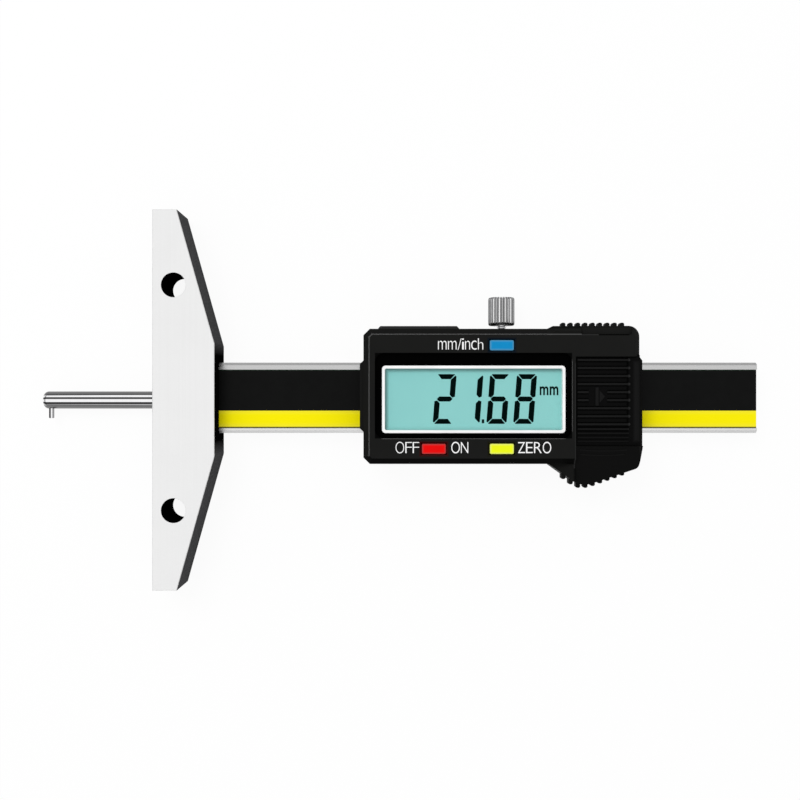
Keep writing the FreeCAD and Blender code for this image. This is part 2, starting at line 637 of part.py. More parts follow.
def tooth(centre, tip, root, inward):
    """One blunt tooth; inward is the sign of the way from its tip to its root."""
    shoulder = f"{tip} + {inward} * tooth_half / 2"
    return polygon((f"{centre} - tooth_half", root), (f"{centre} - tooth_half", shoulder),
                   (f"{centre} - tooth_tip_half", tip), (f"{centre} + tooth_tip_half", tip),
                   (f"{centre} + tooth_half", shoulder), (f"{centre} + tooth_half", root))


def hollow_housing(housing):
    """The hollow for frame, board and display, with two screw posts and the beam's way through."""
    carve(housing, "display_room", "XY", "plate_thick", "ceiling",
          rectangle("cavity_left", "cavity_split", "cavity_low", "cavity_high"))
    carve(housing, "bridge_room", "XY", "plate_thick", "battery_floor",
          rectangle("cavity_split", "cavity_right", "cavity_low", "cavity_high"))
    grow(housing, "collar", "XY", f"{beam_top} + tunnel_play", "collar_top",
         polygon(("cavity_left", "collar_low"), ("head_left", "collar_low"),
                 ("collar_left", "collar_low + collar_side"),
                 ("collar_left", "collar_high - collar_side"), ("head_left", "collar_high"),
                 ("cavity_left", "collar_high")))
    carve(housing, "beam_tunnel", "YZ", "collar_left", "collar_right",
          rectangle(f"{beam_lower} - tunnel_play", f"{beam_upper} + tunnel_play",
                    "plate_thick", f"{beam_top} + tunnel_play"))
    left_places = housing_screw_places[:2]
    grow(housing, "screw_posts", "XY", "frame_rail_top", "ceiling",
         *[disc(across, along, "post_radius") for across, along in left_places])
    carve(housing, "screw_holes", "XY", "frame_rail_top", "housing_screw_end + screw_play",
          *[disc(across, along, "small_screw_radius + screw_play")
            for across, along in housing_screw_places])


def open_panel(housing):
    """The recess round the display, its window and the three button holes."""
    carve(housing, "recess", "XY", "recess_floor", "panel_top",
          rectangle("recess_left", "recess_right", "recess_low", "recess_high"))
    dress(housing, "Fillet", "recess_corners", "recess_round",
          upright_edges(*[(f"recess_{across}", f"recess_{along}")
                          for across in ("left", "right") for along in ("low", "high")]))
    half_length = "(ring_length / 2 + ring_play)"
    half_width = "(ring_width / 2 + ring_play)"
    carve(housing, "window", "XY", "ceiling", "recess_floor",
          rectangle(f"display_x - {half_length}", f"display_x + {half_length}",
                    f"display_y - {half_width}", f"display_y + {half_width}"))
    dress(housing, "Fillet", "window_corners", "ring_round",
          upright_edges(*[(f"display_x {across} {half_length}", f"display_y {along} {half_width}")
                          for across in "-+" for along in "-+"]))
    holes = []
    for across, along in button_places:
        holes.append(rectangle(f"{across} - button_length / 2 - button_play",
                               f"{across} + button_length / 2 + button_play",
                               f"{along} - button_width / 2 - button_play",
                               f"{along} + button_width / 2 + button_play"))
    carve(housing, "button_holes", "XY", "ceiling", "panel_top", *holes)


def seat_battery_cover(housing):
    """The cover's bed with its two side grooves, the cell's well and the contacts' slots."""
    low = "cover_low - cover_play"
    high = "cover_high + cover_play"
    beyond = "collar_right + panel_bevel"
    carve(housing, "cover_bed", "XY", "bed_top", "panel_top", rectangle("bed_left", beyond, low, high))
    carve(housing, "cover_grooves", "XY", "bed_top", "groove_top_z",
          rectangle("bed_left", beyond, f"{low} - tongue_reach", f"{high} + tongue_reach"))
    carve(housing, "flange_seat", "XY", "flange_low - flange_gap", "panel_top",
          rectangle("head_right", beyond, low, high))
    carve(housing, "cell_well", "XY", "battery_floor", "bed_top", disc("cell_x", "cell_y", "well_radius"))
    carve(housing, "plus_slot", "XY", "battery_floor", "leaf_top + slot_play",
          rectangle("cavity_split", "cell_x - well_radius + well_depth",
                    "plus_low - slot_play", "plus_high + slot_play"))
    carve(housing, "minus_slot", "XY", "battery_floor", "cell_low + slot_play",
          rectangle("cavity_split", "cell_x - well_radius + 2 * well_depth",
                    "minus_low - slot_play", "minus_high + slot_play"))


def cut_side_openings(housing):
    """Ways in for the lock screw, the set screws' key and the data cable."""
    carve(housing, "lock_hole", "XZ", "cavity_high", "head_high",
          disc("lock_x", "side_level", "lock_radius + lock_clearance"))
    carve(housing, "key_holes", "XZ", "cavity_high", "head_high",
          *[disc(across, "side_level", "access_radius") for across in set_screw_places])
    carve(housing, "port_groove", "YZ", "head_left", "port_end",
          polygon(("head_high", "port_lip_low"), ("head_high - port_depth", "port_lip_low - port_undercut"),
                  ("head_high - port_depth", "port_lip_high + port_undercut"),
                  ("head_high", "port_lip_high")))
    carve(housing, "port_window", "XZ", "cavity_high", "head_high - port_depth",
          rectangle("port_window_left", "port_window_right", "port_window_low", "port_window_high"))


# ---- display ----

def make_display():
    half_length = "ring_length / 2"
    half_width = "ring_width / 2"
    ring = keep(new_body("lcd_frame"))
    grow(ring, "rim", "XY", "ceiling", "ring_top",
         rectangle(f"display_x - {half_length}", f"display_x + {half_length}",
                   f"display_y - {half_width}", f"display_y + {half_width}"))
    dress(ring, "Fillet", "outer_corners", "ring_round",
          upright_edges(*[(f"display_x {across} {half_length}", f"display_y {along} {half_width}")
                          for across in "-+" for along in "-+"]))
    inner_length = "(ring_length / 2 - ring_bar)"
    inner_width = "(ring_width / 2 - ring_bar)"
    carve(ring, "opening", "XY", "ceiling", "ring_top",
          rectangle(f"display_x - {inner_length}", f"display_x + {inner_length}",
                    f"display_y - {inner_width}", f"display_y + {inner_width}"))
    dress(ring, "Fillet", "inner_corners", "ring_inner_round",
          upright_edges(*[(f"display_x {across} {inner_length}", f"display_y {along} {inner_width}")
                          for across in "-+" for along in "-+"]))
    dress(ring, "Fillet", "soft_top", "ring_soft", lambda edge: is_level(edge, number_of("ring_top")))

    lens = keep(new_body("display_lens"))
    corners = [(f"display_x {across} ({inner_length} - ring_play)",
                f"display_y {along} ({inner_width} - ring_play)") for across in "-+" for along in "-+"]
    grow(lens, "pane", "XY", "lens_low", "lens_top",
         polygon(corners[0], corners[2], corners[3], corners[1]))
    dress(lens, "Fillet", "corners", "ring_inner_round", upright_edges(*corners))

    keep(centred_block("lcd_panel", "glass_length", "glass_width", "glass_low", "ceiling"))
    make_holder()
    members = []
    for name, sign in (("zebra_strip_low", "-"), ("zebra_strip_high", "+")):
        middle = f"display_y {sign} zebra_half"
        members.append(block(name, "display_x - zebra_length / 2", "display_x + zebra_length / 2",
                             f"{middle} - zebra_width / 2", f"{middle} + zebra_width / 2",
                             pcb_top, "glass_low"))
    group("zebra_strips", members)


def centred_block(label, length, width, under, top):
    return block(label, f"display_x - {length} / 2", f"display_x + {length} / 2",
                 f"display_y - {width} / 2", f"display_y + {width} / 2", under, top)


def centred_rectangle(length, width):
    return rectangle(f"display_x - ({length}) / 2", f"display_x + ({length}) / 2",
                     f"display_y - ({width}) / 2", f"display_y + ({width}) / 2")


def make_holder():
    """A plastic frame on the board that carries the display glass and guides the rubber strips."""
    holder = keep(new_body("lcd_holder"))
    grow(holder, "frame", "XY", pcb_top, "ceiling - holder_play",
         centred_rectangle("holder_length", "holder_width"))
    carve(holder, "glass_seat", "XY", "glass_low", "ceiling - holder_play",
          centred_rectangle("glass_length + 2 * holder_play", "glass_width + 2 * holder_play"))
    carve(holder, "chip_room", "XY", pcb_top, "glass_low",
          centred_rectangle("holder_room", "holder_room_width"))
    slots = []
    for sign in "-+":
        middle = f"display_y {sign} zebra_half"
        slots.append(rectangle("display_x - zebra_length / 2 - holder_play",
                               "display_x + zebra_length / 2 + holder_play",
                               f"{middle} - zebra_width / 2 - holder_play",
                               f"{middle} + zebra_width / 2 + holder_play"))
    carve(holder, "strip_slots", "XY", pcb_top, "glass_low", *slots)


# ---- circuit board ----

def make_board():
    board = keep(new_body("main_board"))
    grow(board, "laminate", "XY", "frame_rail_top", pcb_top,
         rectangle("pcb_left", "pcb_right", "pcb_low", "pcb_high"))
    carve(board, "post_holes", "XY", "frame_rail_top", pcb_top,
          *[disc(across, along, "pcb_hole_radius") for across, along in housing_screw_places[:2]])

    half = "chip_size / 2"
    members = [block("measuring_chip", f"chip_x - {half}", f"chip_x + {half}", f"-1 * {half}", half,
                     pcb_top, f"{pcb_top} + chip_tall")]
    members.append(block("quartz_crystal", "crystal_x - crystal_radius", "crystal_x + crystal_radius",
                         "-1 * crystal_length / 2", "crystal_length / 2",
                         pcb_top, f"{pcb_top} + 2 * crystal_radius"))
    for place in range(small_part_count):
        along = f"({place} - {(small_part_count - 1) / 2}) * chip_part_pitch"
        members.append(block(f"chip_capacitor_{place + 1}",
                             "chip_part_x", "chip_part_x + chip_part_length",
                             f"{along} - chip_part_width / 2", f"{along} + chip_part_width / 2",
                             pcb_top, f"{pcb_top} + chip_part_tall"))
    group("board_components", members)

    pads = []
    for place in range(port_contact_count):
        across = f"contact_first + {place} * contact_pitch"
        pads.append(block(f"port_contact_{place + 1}", f"{across} - contact_half",
                          f"{across} + contact_half", "contact_back", "pcb_high",
                          pcb_top, f"{pcb_top} + contact_tall"))
    group("port_contacts", pads)


# ---- push buttons and the rubber domes that return them ----

def make_buttons():
    for label, (across, along) in zip(("mode_button", "power_button", "zero_button"), button_places):
        button = keep(new_body(label))
        left = f"{across} - button_length / 2"
        right = f"{across} + button_length / 2"
        low = f"{along} - button_width / 2"
        high = f"{along} + button_width / 2"
        grow(button, "cap", "XY", "flange_top", "button_top", rectangle(left, right, low, high))
        dress(button, "Fillet", "corners", "button_round",
              upright_edges((left, low), (left, high), (right, low), (right, high)))
        dress(button, "Fillet", "soft_top", "button_soft",
              lambda edge: is_level(edge, number_of("button_top")))
        grow(button, "flange", "XY", "flange_top - flange_thick", "flange_top",
             rectangle(f"{left} - flange_rim", f"{right} + flange_rim",
                       f"{low} - flange_rim", f"{high} + flange_rim"))
        grow(button, "stem", "XY", "stem_low", "flange_top - flange_thick",
             disc(across, along, "stem_radius"))
    domes = []
    for index, (across, along) in enumerate(button_places, start=1):
        dome = new_body(f"button_dome_{index}")
        grow(dome, f"cone_{index}", "XY", pcb_top, f"{pcb_top} + dome_tall",
             disc(across, along, "dome_radius"))
        top = number_of(f"{pcb_top} + dome_tall")
        dress(dome, "Chamfer", f"shoulder_{index}", "dome_bevel", lambda edge: is_level(edge, top))
        domes.append(dome)
    group("button_domes", domes)


# ---- button cell, its contacts and its cover ----

def make_cell():
    cell = keep(new_body("battery"))
    spin(cell, "can",
         ("0", "0"), ("cell_cap_radius", "0"), ("cell_cap_radius", "cell_cap_step"),
         ("cell_radius - cell_bevel", "cell_cap_step"), ("cell_radius", "cell_cap_step + cell_bevel"),
         ("cell_radius", "cell_tall - cell_bevel"), ("cell_radius - cell_bevel", "cell_tall"),
         ("0", "cell_tall"))
    place_at(cell, "cell_x", "cell_y", "cell_low")

    plus = keep(new_body("battery_contact_positive"))
    grow(plus, "leaf", "XZ", "plus_low", "plus_high",
         polygon(("leaf_left", pcb_top), ("leaf_riser + leaf_thick", pcb_top),
                 ("leaf_riser + leaf_thick", "leaf_top"), ("leaf_riser", "leaf_top"),
                 ("leaf_riser", f"{pcb_top} + leaf_thick"), ("leaf_left", f"{pcb_top} + leaf_thick")))
    minus = keep(new_body("battery_contact_negative"))
    grow(minus, "strip", "XZ", "minus_low", "minus_high",
         polygon(("leaf_left", pcb_top), ("pcb_right", pcb_top), ("pcb_right", "frame_bridge_top"),
                 ("minus_right", "frame_bridge_top"), ("minus_right", "cell_low"),
                 ("leaf_left", "cell_low")))


def ridge_rectangles():
    """Thin ridges across the cover; those beside the arrow stop short of it."""
    rows = [f"ridge_first - {place} * ridge_pitch" for place in range(ridge_count)]
    last = rows[-1]
    rows += [f"{last} - {place} * ridge_close_pitch" for place in range(1, close_ridge_count + 1)]
    outlines = []
    for along in rows:
        low = f"{along} - ridge_half"
        high = f"{along} + ridge_half"
        beside = abs(number_of(along) - number_of("arrow_y")) < number_of("arrow_half + arrow_gap")
        if beside:
            outlines.append(rectangle("ridge_left", "arrow_left - arrow_gap", low, high))
            outlines.append(rectangle("arrow_right + arrow_gap", "ridge_right", low, high))
        else:
            outlines.append(rectangle("ridge_left", "ridge_right", low, high))
    return outlines


def make_battery_cover():
    cover = keep(new_body("battery_cover"))
    inner = "head_right + flange_gap"
    grow(cover, "slab", "XZ", "cover_low", "cover_high",
         polygon(("cover_left", "cover_under"), (inner, "cover_under"), (inner, "flange_low"),
                 ("flange_right", "flange_low"), ("flange_right", "flange_shoulder"),
                 ("flange_bend", "cover_top"), ("cover_left", "cover_top")))
    dress(cover, "Chamfer", "flange_edge", "flange_corner", upright_edges(("flange_right", "cover_high")))
    grow(cover, "tongues", "XY", "cover_under", "tongue_top",
         rectangle("cover_left", inner, "cover_low - tongue_reach", "cover_high + tongue_reach"))
    grow(cover, "ridges", "XY", "cover_top", "cover_top + ridge_tall", *ridge_rectangles())
    neck = "arrow_left + arrow_bar"
    grow(cover, "arrow", "XY", "cover_top", "cover_top + arrow_tall",
         rectangle("arrow_left", neck, "arrow_y - arrow_half", "arrow_y + arrow_half"),
         polygon((f"{neck} + arrow_bar / 4", "arrow_y - arrow_head_half"), ("arrow_right", "arrow_y"),
                 (f"{neck} + arrow_bar / 4", "arrow_y + arrow_head_half")))


def make_port_cover():
    cover = keep(new_body("port_cover"))
    bevel = "port_cover_bevel"
    face = "head_high + port_play"
    grow(cover, "lid", "XY", "port_cover_low_z", "port_cover_top_z",
         polygon(("port_cover_left", face), ("port_cover_right", face),
                 (f"port_cover_right - {bevel}", "port_cover_high"),
                 (f"port_cover_left + {bevel}", "port_cover_high")))
    dress(cover, "Chamfer", "long_edges", bevel, is_lid_edge)
    mouth = "(port_play + port_undercut * port_play / port_depth)"
    depth = "(port_undercut - port_undercut * port_play / port_depth - port_play)"
    back = "head_high - port_depth + port_play"
    grow(cover, "dovetail", "YZ", "port_cover_left + port_cover_bevel", "port_cover_right - port_cover_bevel",
         polygon((face, f"port_lip_low + {mouth}"), (face, f"port_lip_high - {mouth}"),
                 (back, f"port_lip_high + {depth}"), (back, f"port_lip_low - {depth}")))


def is_lid_edge(edge):
    box = box_of(edge)
    outside = abs(box.YMin - number_of("port_cover_high")) < 1e-3
    return outside and box.YLength < 1e-3 and box.ZLength < 1e-3


def check_and_write():
    """Stops on any failed feature or shape, then writes one file per piece."""
    doc.recompute()
    for item in doc.Objects:
        if "Invalid" in item.State or "Error" in item.State:
            raise ValueError(f"{item.Label} failed: {item.State}")
    os.makedirs("parts", exist_ok=True)
    for item in pieces:
        shape = item.Shape
        if shape.isNull() or not shape.isValid() or not shape.Solids:
            raise ValueError(f"{item.Label} has no valid solid")
        shape.exportStep(f"parts/{item.Label}.step")


make_base()
make_beam()
make_scale()
screw_group("base_screws", base_screw_places, "0",
            "base_screw_radius", "base_screw_flare", "base_screw_end")
make_stop()
make_rod()
make_slider_frame()
make_back_plate()
make_slider_screws()
make_gib()
make_lock()
make_front_housing()
make_display()
make_board()
make_buttons()
make_cell()
make_battery_cover()
make_port_cover()
check_and_write()
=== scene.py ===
import math

import bmesh
import bpy
from mathutils import Matrix, Vector


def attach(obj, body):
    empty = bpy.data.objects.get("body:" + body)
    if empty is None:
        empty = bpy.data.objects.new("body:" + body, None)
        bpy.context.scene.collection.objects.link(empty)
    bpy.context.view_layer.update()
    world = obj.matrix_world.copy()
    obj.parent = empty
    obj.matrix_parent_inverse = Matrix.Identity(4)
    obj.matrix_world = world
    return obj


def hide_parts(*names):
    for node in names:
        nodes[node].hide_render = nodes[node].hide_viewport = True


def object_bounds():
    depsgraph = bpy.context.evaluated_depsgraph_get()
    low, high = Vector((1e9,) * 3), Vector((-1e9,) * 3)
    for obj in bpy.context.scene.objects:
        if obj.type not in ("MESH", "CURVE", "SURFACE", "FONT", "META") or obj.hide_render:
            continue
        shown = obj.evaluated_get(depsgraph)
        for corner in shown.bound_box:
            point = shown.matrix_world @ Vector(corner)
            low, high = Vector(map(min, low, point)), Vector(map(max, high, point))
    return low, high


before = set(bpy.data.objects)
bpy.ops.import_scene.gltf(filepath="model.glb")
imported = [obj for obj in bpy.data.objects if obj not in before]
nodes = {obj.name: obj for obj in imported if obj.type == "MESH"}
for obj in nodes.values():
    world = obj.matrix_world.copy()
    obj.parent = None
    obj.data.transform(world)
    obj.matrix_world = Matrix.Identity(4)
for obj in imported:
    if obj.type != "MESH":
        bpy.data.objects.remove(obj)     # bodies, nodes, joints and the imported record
cadLow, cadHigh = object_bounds()
mm = 0.001
ops = bmesh.ops
print("frame loaded:", len(nodes), "nodes")

# The scene is in metres, and X runs along the beam to its tail, Y across it to the lock screw, Z out of
# the display. The dictionaries hold millimetres; a box is the x and y of its middle and its half sizes.
finishes = {}
making = {}     # the node tree and the shader that are being made


def at(x, y, z=0.0):
    return Vector((x, y, z)) * mm


def grey(value):
    return value, value, value, 1.0


def scaled(colour, share):
    return colour[0] * share, colour[1] * share, colour[2] * share, 1.0


def startTree(owner):
    owner.use_nodes = True
    making["tree"] = owner.node_tree
    return owner.node_tree.nodes


def newFinish(name):
    finishes[name] = bpy.data.materials.new(name)
    making["shader"] = startTree(finishes[name])["Principled BSDF"]


def plug(socket, value):
    if isinstance(value, bpy.types.NodeSocket):
        making["tree"].links.new(value, socket)
    else:
        socket.default_value = value


def addNode(kind, sockets=None, **settings):
    node = making["tree"].nodes.new("ShaderNode" + kind)
    for key, value in settings.items():
        setattr(node, key, value)
    for key, value in (sockets or {}).items():
        plug(node.inputs[key], value)
    return node


def connect(**sources):
    names = {"colour": "Base Color", "rough": "Roughness", "metal": "Metallic", "normal": "Normal",
             "shine": "Specular IOR Level", "alpha": "Alpha", "bend": "IOR"}
    for key, source in sources.items():
        plug(making["shader"].inputs[names[key]], source)


def here():
    return addNode("TexCoord").outputs["Object"]


def surface(kind):
    return addNode("NewGeometry").outputs[kind]


def xyz(vector):
    return addNode("SeparateXYZ", {0: vector}).outputs


def facing():
    return xyz(surface("True Normal"))


def noise(scale, detail=3.0, roughness=0.55, stretch=(1, 1, 1)):
    where = addNode("Mapping", {"Vector": here(), "Scale": stretch}).outputs["Vector"]
    sockets = {"Vector": where, "Scale": scale, "Detail": detail, "Roughness": roughness}
    return addNode("TexNoise", sockets).outputs["Fac"]


def remap(value, low, high, fromLow=0.3, fromHigh=0.7):
    sockets = {"Value": value, "From Min": fromLow, "From Max": fromHigh, "To Min": low, "To Max": high}
    return addNode("MapRange", sockets).outputs["Result"]


def calculate(operation, first, second=0.0):
    return addNode("Math", {0: first, 1: second}, operation=operation).outputs["Value"]


def times(first, second):
    return calculate("MULTIPLY", first, second)


def minus(first, second):
    return calculate("SUBTRACT", first, second)


def isPast(place, level):
    # 1 where a place in metres lies past a level in millimetres
    return calculate("GREATER_THAN", place, level * mm)


def isBefore(place, level):
    return calculate("LESS_THAN", place, level * mm)


def vectorMath(operation, first, second=(0, 0, 0), result=0):
    return addNode("VectorMath", {0: first, 1: second}, operation=operation).outputs[result]


def dimmed(tone, level):
    return addNode("VectorMath", {0: tone, "Scale": level}, operation="SCALE").outputs[0]


def mixColours(share, first, second, blend="MIX"):
    return addNode("Mix", {0: share, 6: first, 7: second}, data_type="RGBA", blend_type=blend).outputs[2]


def varied(share, colour, low, high):
    # darker to brighter shades of one colour
    return mixColours(remap(share, 0, 1), scaled(colour, low), scaled(colour, high))


def addRamp(angle, stops):
    # brightness by angle, from stops of degrees and level
    bands = addNode("ValToRGB", {"Fac": remap(angle, 0.0, 1.0, -math.pi, math.pi)})
    ramp = bands.color_ramp
    while len(ramp.elements) < len(stops):
        ramp.elements.new(0.5)
    for element, (degrees, level) in zip(ramp.elements, stops):
        element.position = (degrees + 180) / 360
        element.color = grey(level)
    return bands.outputs["Color"]


def softNormal(radius):
    return addNode("Bevel", {"Radius": radius * mm}, samples=6).outputs["Normal"]


def bump(height, depth, radius):
    # depth is in thousandths of a millimetre
    sockets = {"Height": height, "Distance": depth * mm * mm, "Normal": softNormal(radius), "Strength": 1.0}
    return addNode("Bump", sockets).outputs["Normal"]


def edgeShare(radius, gain, full=0.1):
    # 0 on flat ground, rising to gain where the surface turns
    along = vectorMath("DOT_PRODUCT", softNormal(radius), surface("Normal"), "Value")
    return remap(minus(1.0, along), 0.0, gain, 0.01, full)


def insideBox(box, soft):
    # 1 above and below a flat box, falling to 0 at a distance of soft beyond its sides
    x, y, halfX, halfY = box
    away = vectorMath("ABSOLUTE", vectorMath("SUBTRACT", here(), at(x, y)))
    beyond = xyz(vectorMath("SUBTRACT", away, at(halfX, halfY)))
    return remap(calculate("MAXIMUM", beyond["X"], beyond["Y"]), 1.0, 0.0, 0.0, soft * mm)


def paintBox(tone, colour, box, soft, share=1.0):
    return mixColours(times(insideBox(box, soft), share), tone, colour)


# Metals: colour, lowest and highest roughness, grain direction as a stretch, grain lines per metre, grain
# depth in thousandths of a millimetre, colour change along the grain, softness of the edges.
plainMetal = dict(stretch=(0.03, 1, 1), lines=1500, depth=1.5, change=0.08, soft=0.06)
metals = {
    "base_steel": dict(colour=grey(0.885), rough=(0.30, 0.40), stretch=(1, 0.010, 1), lines=1300, depth=0.5,
                       change=0.03, soft=0.08),
    "beam_steel": dict(colour=grey(0.68), rough=(0.20, 0.30), stretch=(0.02, 1, 1), lines=1900, depth=1.0,
                       change=0.06, soft=0.1),
    "frame_steel": dict(colour=(0.55, 0.55, 0.57), rough=(0.28, 0.42), change=0.12, soft=0.12),
    "plate_steel": dict(colour=(0.62, 0.62, 0.64), rough=(0.26, 0.40), change=0.12, soft=0.12),
    "rod_steel": dict(colour=(0.92, 0.92, 0.93), rough=(0.04, 0.08), stretch=(1, 0.05, 0.05), lines=2500,
                      depth=0.3, change=0.04),
    "screw_steel": dict(colour=(0.52, 0.52, 0.54), rough=(0.22, 0.36), stretch=(1, 1, 1), lines=1600,
                        change=0.10),
    "lock_steel": dict(colour=(0.76, 0.76, 0.77), rough=(0.10, 0.18), stretch=(1, 0.06, 1), lines=2200,
                       depth=1.0, soft=0.05),
    "gib_brass": dict(colour=(0.66, 0.47, 0.17), rough=(0.24, 0.36), change=0.10),
    "contact_gold": dict(colour=(0.80, 0.58, 0.22), rough=(0.20, 0.32), stretch=(1, 1, 1), lines=1200,
                         depth=1.0, soft=0.05),
    "cell_steel": dict(colour=(0.72, 0.72, 0.73), rough=(0.16, 0.26), stretch=(1, 0.05, 1), depth=1.0,
                       soft=0.1),
    "contact_steel": dict(colour=(0.66, 0.64, 0.56), rough=(0.2, 0.3), stretch=(0.05, 1, 1), depth=1.0,
                          soft=0.05),
}


def makeMetal(name, like=None):
    look = plainMetal | metals[like or name]
    newFinish(name)
    grain = noise(look["lines"], 5.0, 0.6, look["stretch"])
    tone = varied(grain, look["colour"], 1 - look["change"], 1 + look["change"] * 0.5)
    # painted highlight: the edges are painted a little paler
    tone = mixColours(edgeShare(look["soft"], 0.6, 0.25), tone, scaled(look["colour"], 1.08))
    patchy = calculate("ADD", remap(grain, *look["rough"]), remap(noise(90.0), -0.02, 0.04))
    connect(colour=tone, rough=patchy, normal=bump(grain, look["depth"], look["soft"]), metal=1.0)
    return tone


beamShading = {
    "from": 0.35, "to": 0.65, "share": 0.78,     # painted shade: the beam's edge towards the lock screw is painted darker
    "near": 1.12, "far": 0.86, "reach": 7.0,     # painted light: brightness of the lower and the upper land
}


def makeBeamSteel():
    tone = makeMetal("beam_steel")
    # painted shade on the edge towards the lock screw, painted light on the lower land
    turned = remap(facing()["Y"], 1.0, beamShading["share"], beamShading["from"], beamShading["to"])
    reach = beamShading["reach"] * mm
    land = remap(xyz(here())["Y"], beamShading["near"], beamShading["far"], -reach, reach)
    connect(colour=dimmed(tone, times(turned, land)))


baseShading = {
    "sideShade": (0.050, 0.050, 0.052, 1.0),     # painted dark reflection on the slanted shoulders and ends
    # paler patches of the painted reflection, spread at random
    "paleSideShade": (0.092, 0.092, 0.094, 1.0),
    "black": grey(0.0015),     # painted shade beside the beam and in the holes
    "upright": 0.35,     # a face that looks up or down by more than this stays bright
    "faceDepth": 0.3,     # so does the measuring face, up to here
    "beamAxis": 0.5,
    "blackTo": 9.6,     # distance from the beam's axis where the painted shade starts to turn grey
    "greyFrom": 12.6,
    "holes": [(4.7, -24.5), (4.7, 25.5)],
    "holeReach": 3.1,
}


def makeBaseSteel():
    # ground front, back and measuring face; the other sides and the holes are painted dark, as painted
    # reflection and shade
    bright = makeMetal("base_steel")
    place = xyz(here())
    side = calculate("LESS_THAN", calculate("ABSOLUTE", facing()["Z"]), baseShading["upright"])
    shadedSide = times(side, isPast(place["X"], baseShading["faceDepth"]))
    across = calculate("ABSOLUTE", minus(place["Y"], baseShading["beamAxis"] * mm))
    dark = remap(across, 1.0, 0.0, baseShading["blackTo"] * mm, baseShading["greyFrom"] * mm)
    flat = addNode("CombineXYZ", {0: place["X"], 1: place["Y"], 2: 0.0}).outputs[0]
    for x, y in baseShading["holes"]:
        away = vectorMath("DISTANCE", flat, at(x, y), "Value")
        dark = calculate("MAXIMUM", dark, isBefore(away, baseShading["holeReach"]))
    fadeShare = remap(noise(2600.0, 4.0, 0.7), 0.0, 1.0, 0.45, 0.65)
    sideShade = mixColours(fadeShare, baseShading["sideShade"], baseShading["paleSideShade"])
    sideShade = mixColours(dark, sideShade, baseShading["black"])
    connect(colour=mixColours(shadedSide, bright, sideShade), metal=minus(1.0, shadedSide), shine=0.0)


lock = {
    "x": 78.1, "z": 4.5,
    "tip": 10.3, "shankEnd": 15.2, "shank": 1.25, "root": 1.02, "pitch": 0.45, "crest": (0.42, 0.55),
    "neck": 1.08, "neckGrooves": [15.95, 16.35, 16.75], "neckDeep": 0.22, "grooveHalf": 0.1,
    "head": 17.0, "end": 23.4, "radius": 3.0, "headRound": 0.40,
    "ribs": 26, "turned": 104.5, "ribDepth": 0.22, "ribSlope": 1.3, "ribsInside": 2.3, "runOut": 0.32,
    "dish": 1.5, "dishDepth": 0.25, "dishSlope": 0.2,
}
knurlShade = {
    # painted highlight and shade, from the middle of a bright groove to that of the dimmer next one, which
    # is at 180 degrees
    "bands": [(33, 1.7), (42, 0.24), (50, 0.24), (60, 0.44), (130, 0.44), (140, 0.26), (150, 0.26),
              (159, 1.0), (180, 1.0)],
    "from": 17.14, "to": 23.1, "rim": 0.34,
}


def makeLockSteel():
    # painted reflections: bright grooves, dimmer ribs and dark rims
    tone = makeMetal("lock_steel")
    place = xyz(here())
    across = minus(place["X"], lock["x"] * mm)
    up = minus(place["Z"], lock["z"] * mm)
    angle = minus(calculate("ARCTAN2", up, across), math.radians(lock["turned"]))
    angle = calculate("ADD", times(angle, lock["ribs"] / 2), math.pi)
    angle = minus(calculate("FLOORED_MODULO", angle, math.tau), math.pi)
    out = addNode("CombineXYZ", {0: across, 1: 0.0, 2: up}).outputs[0]
    side = isPast(vectorMath("LENGTH", out, result="Value"), lock["ribsInside"])
    ribbed = times(isPast(place["Y"], knurlShade["from"]), isBefore(place["Y"], knurlShade["to"]))
    bands = [(-degrees, level) for degrees, level in reversed(knurlShade["bands"])] + knurlShade["bands"]
    level = mixColours(ribbed, grey(knurlShade["rim"]), addRamp(angle, bands))
    connect(colour=mixColours(1.0, tone, mixColours(side, grey(1.0), level), "MULTIPLY"))


# each rounded end: its radius and the steps round it
rod = {"tip": -27.0, "end": 106.5, "radius": 2.0, "height": 3.0, "tipRound": (1.1, 8), "endRound": (0.2, 2)}
pin = {"x": -25.35, "radius": 0.6, "inside": 0.4, "drop": -4.17, "round": (0.16, 4)}
reflectionBands = {
    # painted reflections on the drawn and polished surface: how bright it is round the axis, by degrees from
    # its top line
    "rod_steel": [(-180, 0.5), (-118, 0.5), (-104, 0.19), (-43, 0.19), (-40.5, 0.55), (-28, 0.55),
                  (-26.5, 0.015), (-14.5, 0.015), (-13, 1.0), (5.0, 1.0), (6.5, 0.07), (18.5, 0.07),
                  (20, 1.0), (33, 1.0), (36, 0.17), (104, 0.17), (118, 0.5), (180, 0.5)],
    "pin_steel": [(-180, 0.4), (-95, 0.4), (-85, 0.04), (-4, 0.04), (-1, 1.0), (37, 1.0), (40, 0.06),
                  (56, 0.06), (59, 0.6), (95, 0.5), (105, 0.3), (180, 0.3)],
}


def makeGroundSteel(name, across, middle):
    tone = makeMetal(name, "rod_steel")
    place = xyz(here())
    angle = calculate("ARCTAN2", minus(place[across], middle * mm), minus(place["Z"], rod["height"] * mm))
    connect(colour=dimmed(tone, addRamp(angle, reflectionBands[name])))


buttonPlaces = {"mode_blue": (77.15, 11.95), "power_red": (62.3, -10.68), "zero_yellow": (77.15, -10.68)}
caps = {
    "long": 5.26, "wide": 2.25, "top": 15.25, "under": 12.95, "corner": 0.35, "rim": 0.24,
    "flange": 0.55, "flangeUnder": 12.15, "flangeRim": 0.08, "stem": 0.9, "stemUnder": 9.9,
    "flatHalf": (2.12, 0.62), "fade": 0.5,     # the full colour reaches this far, then turns to the rim's painted tone
}
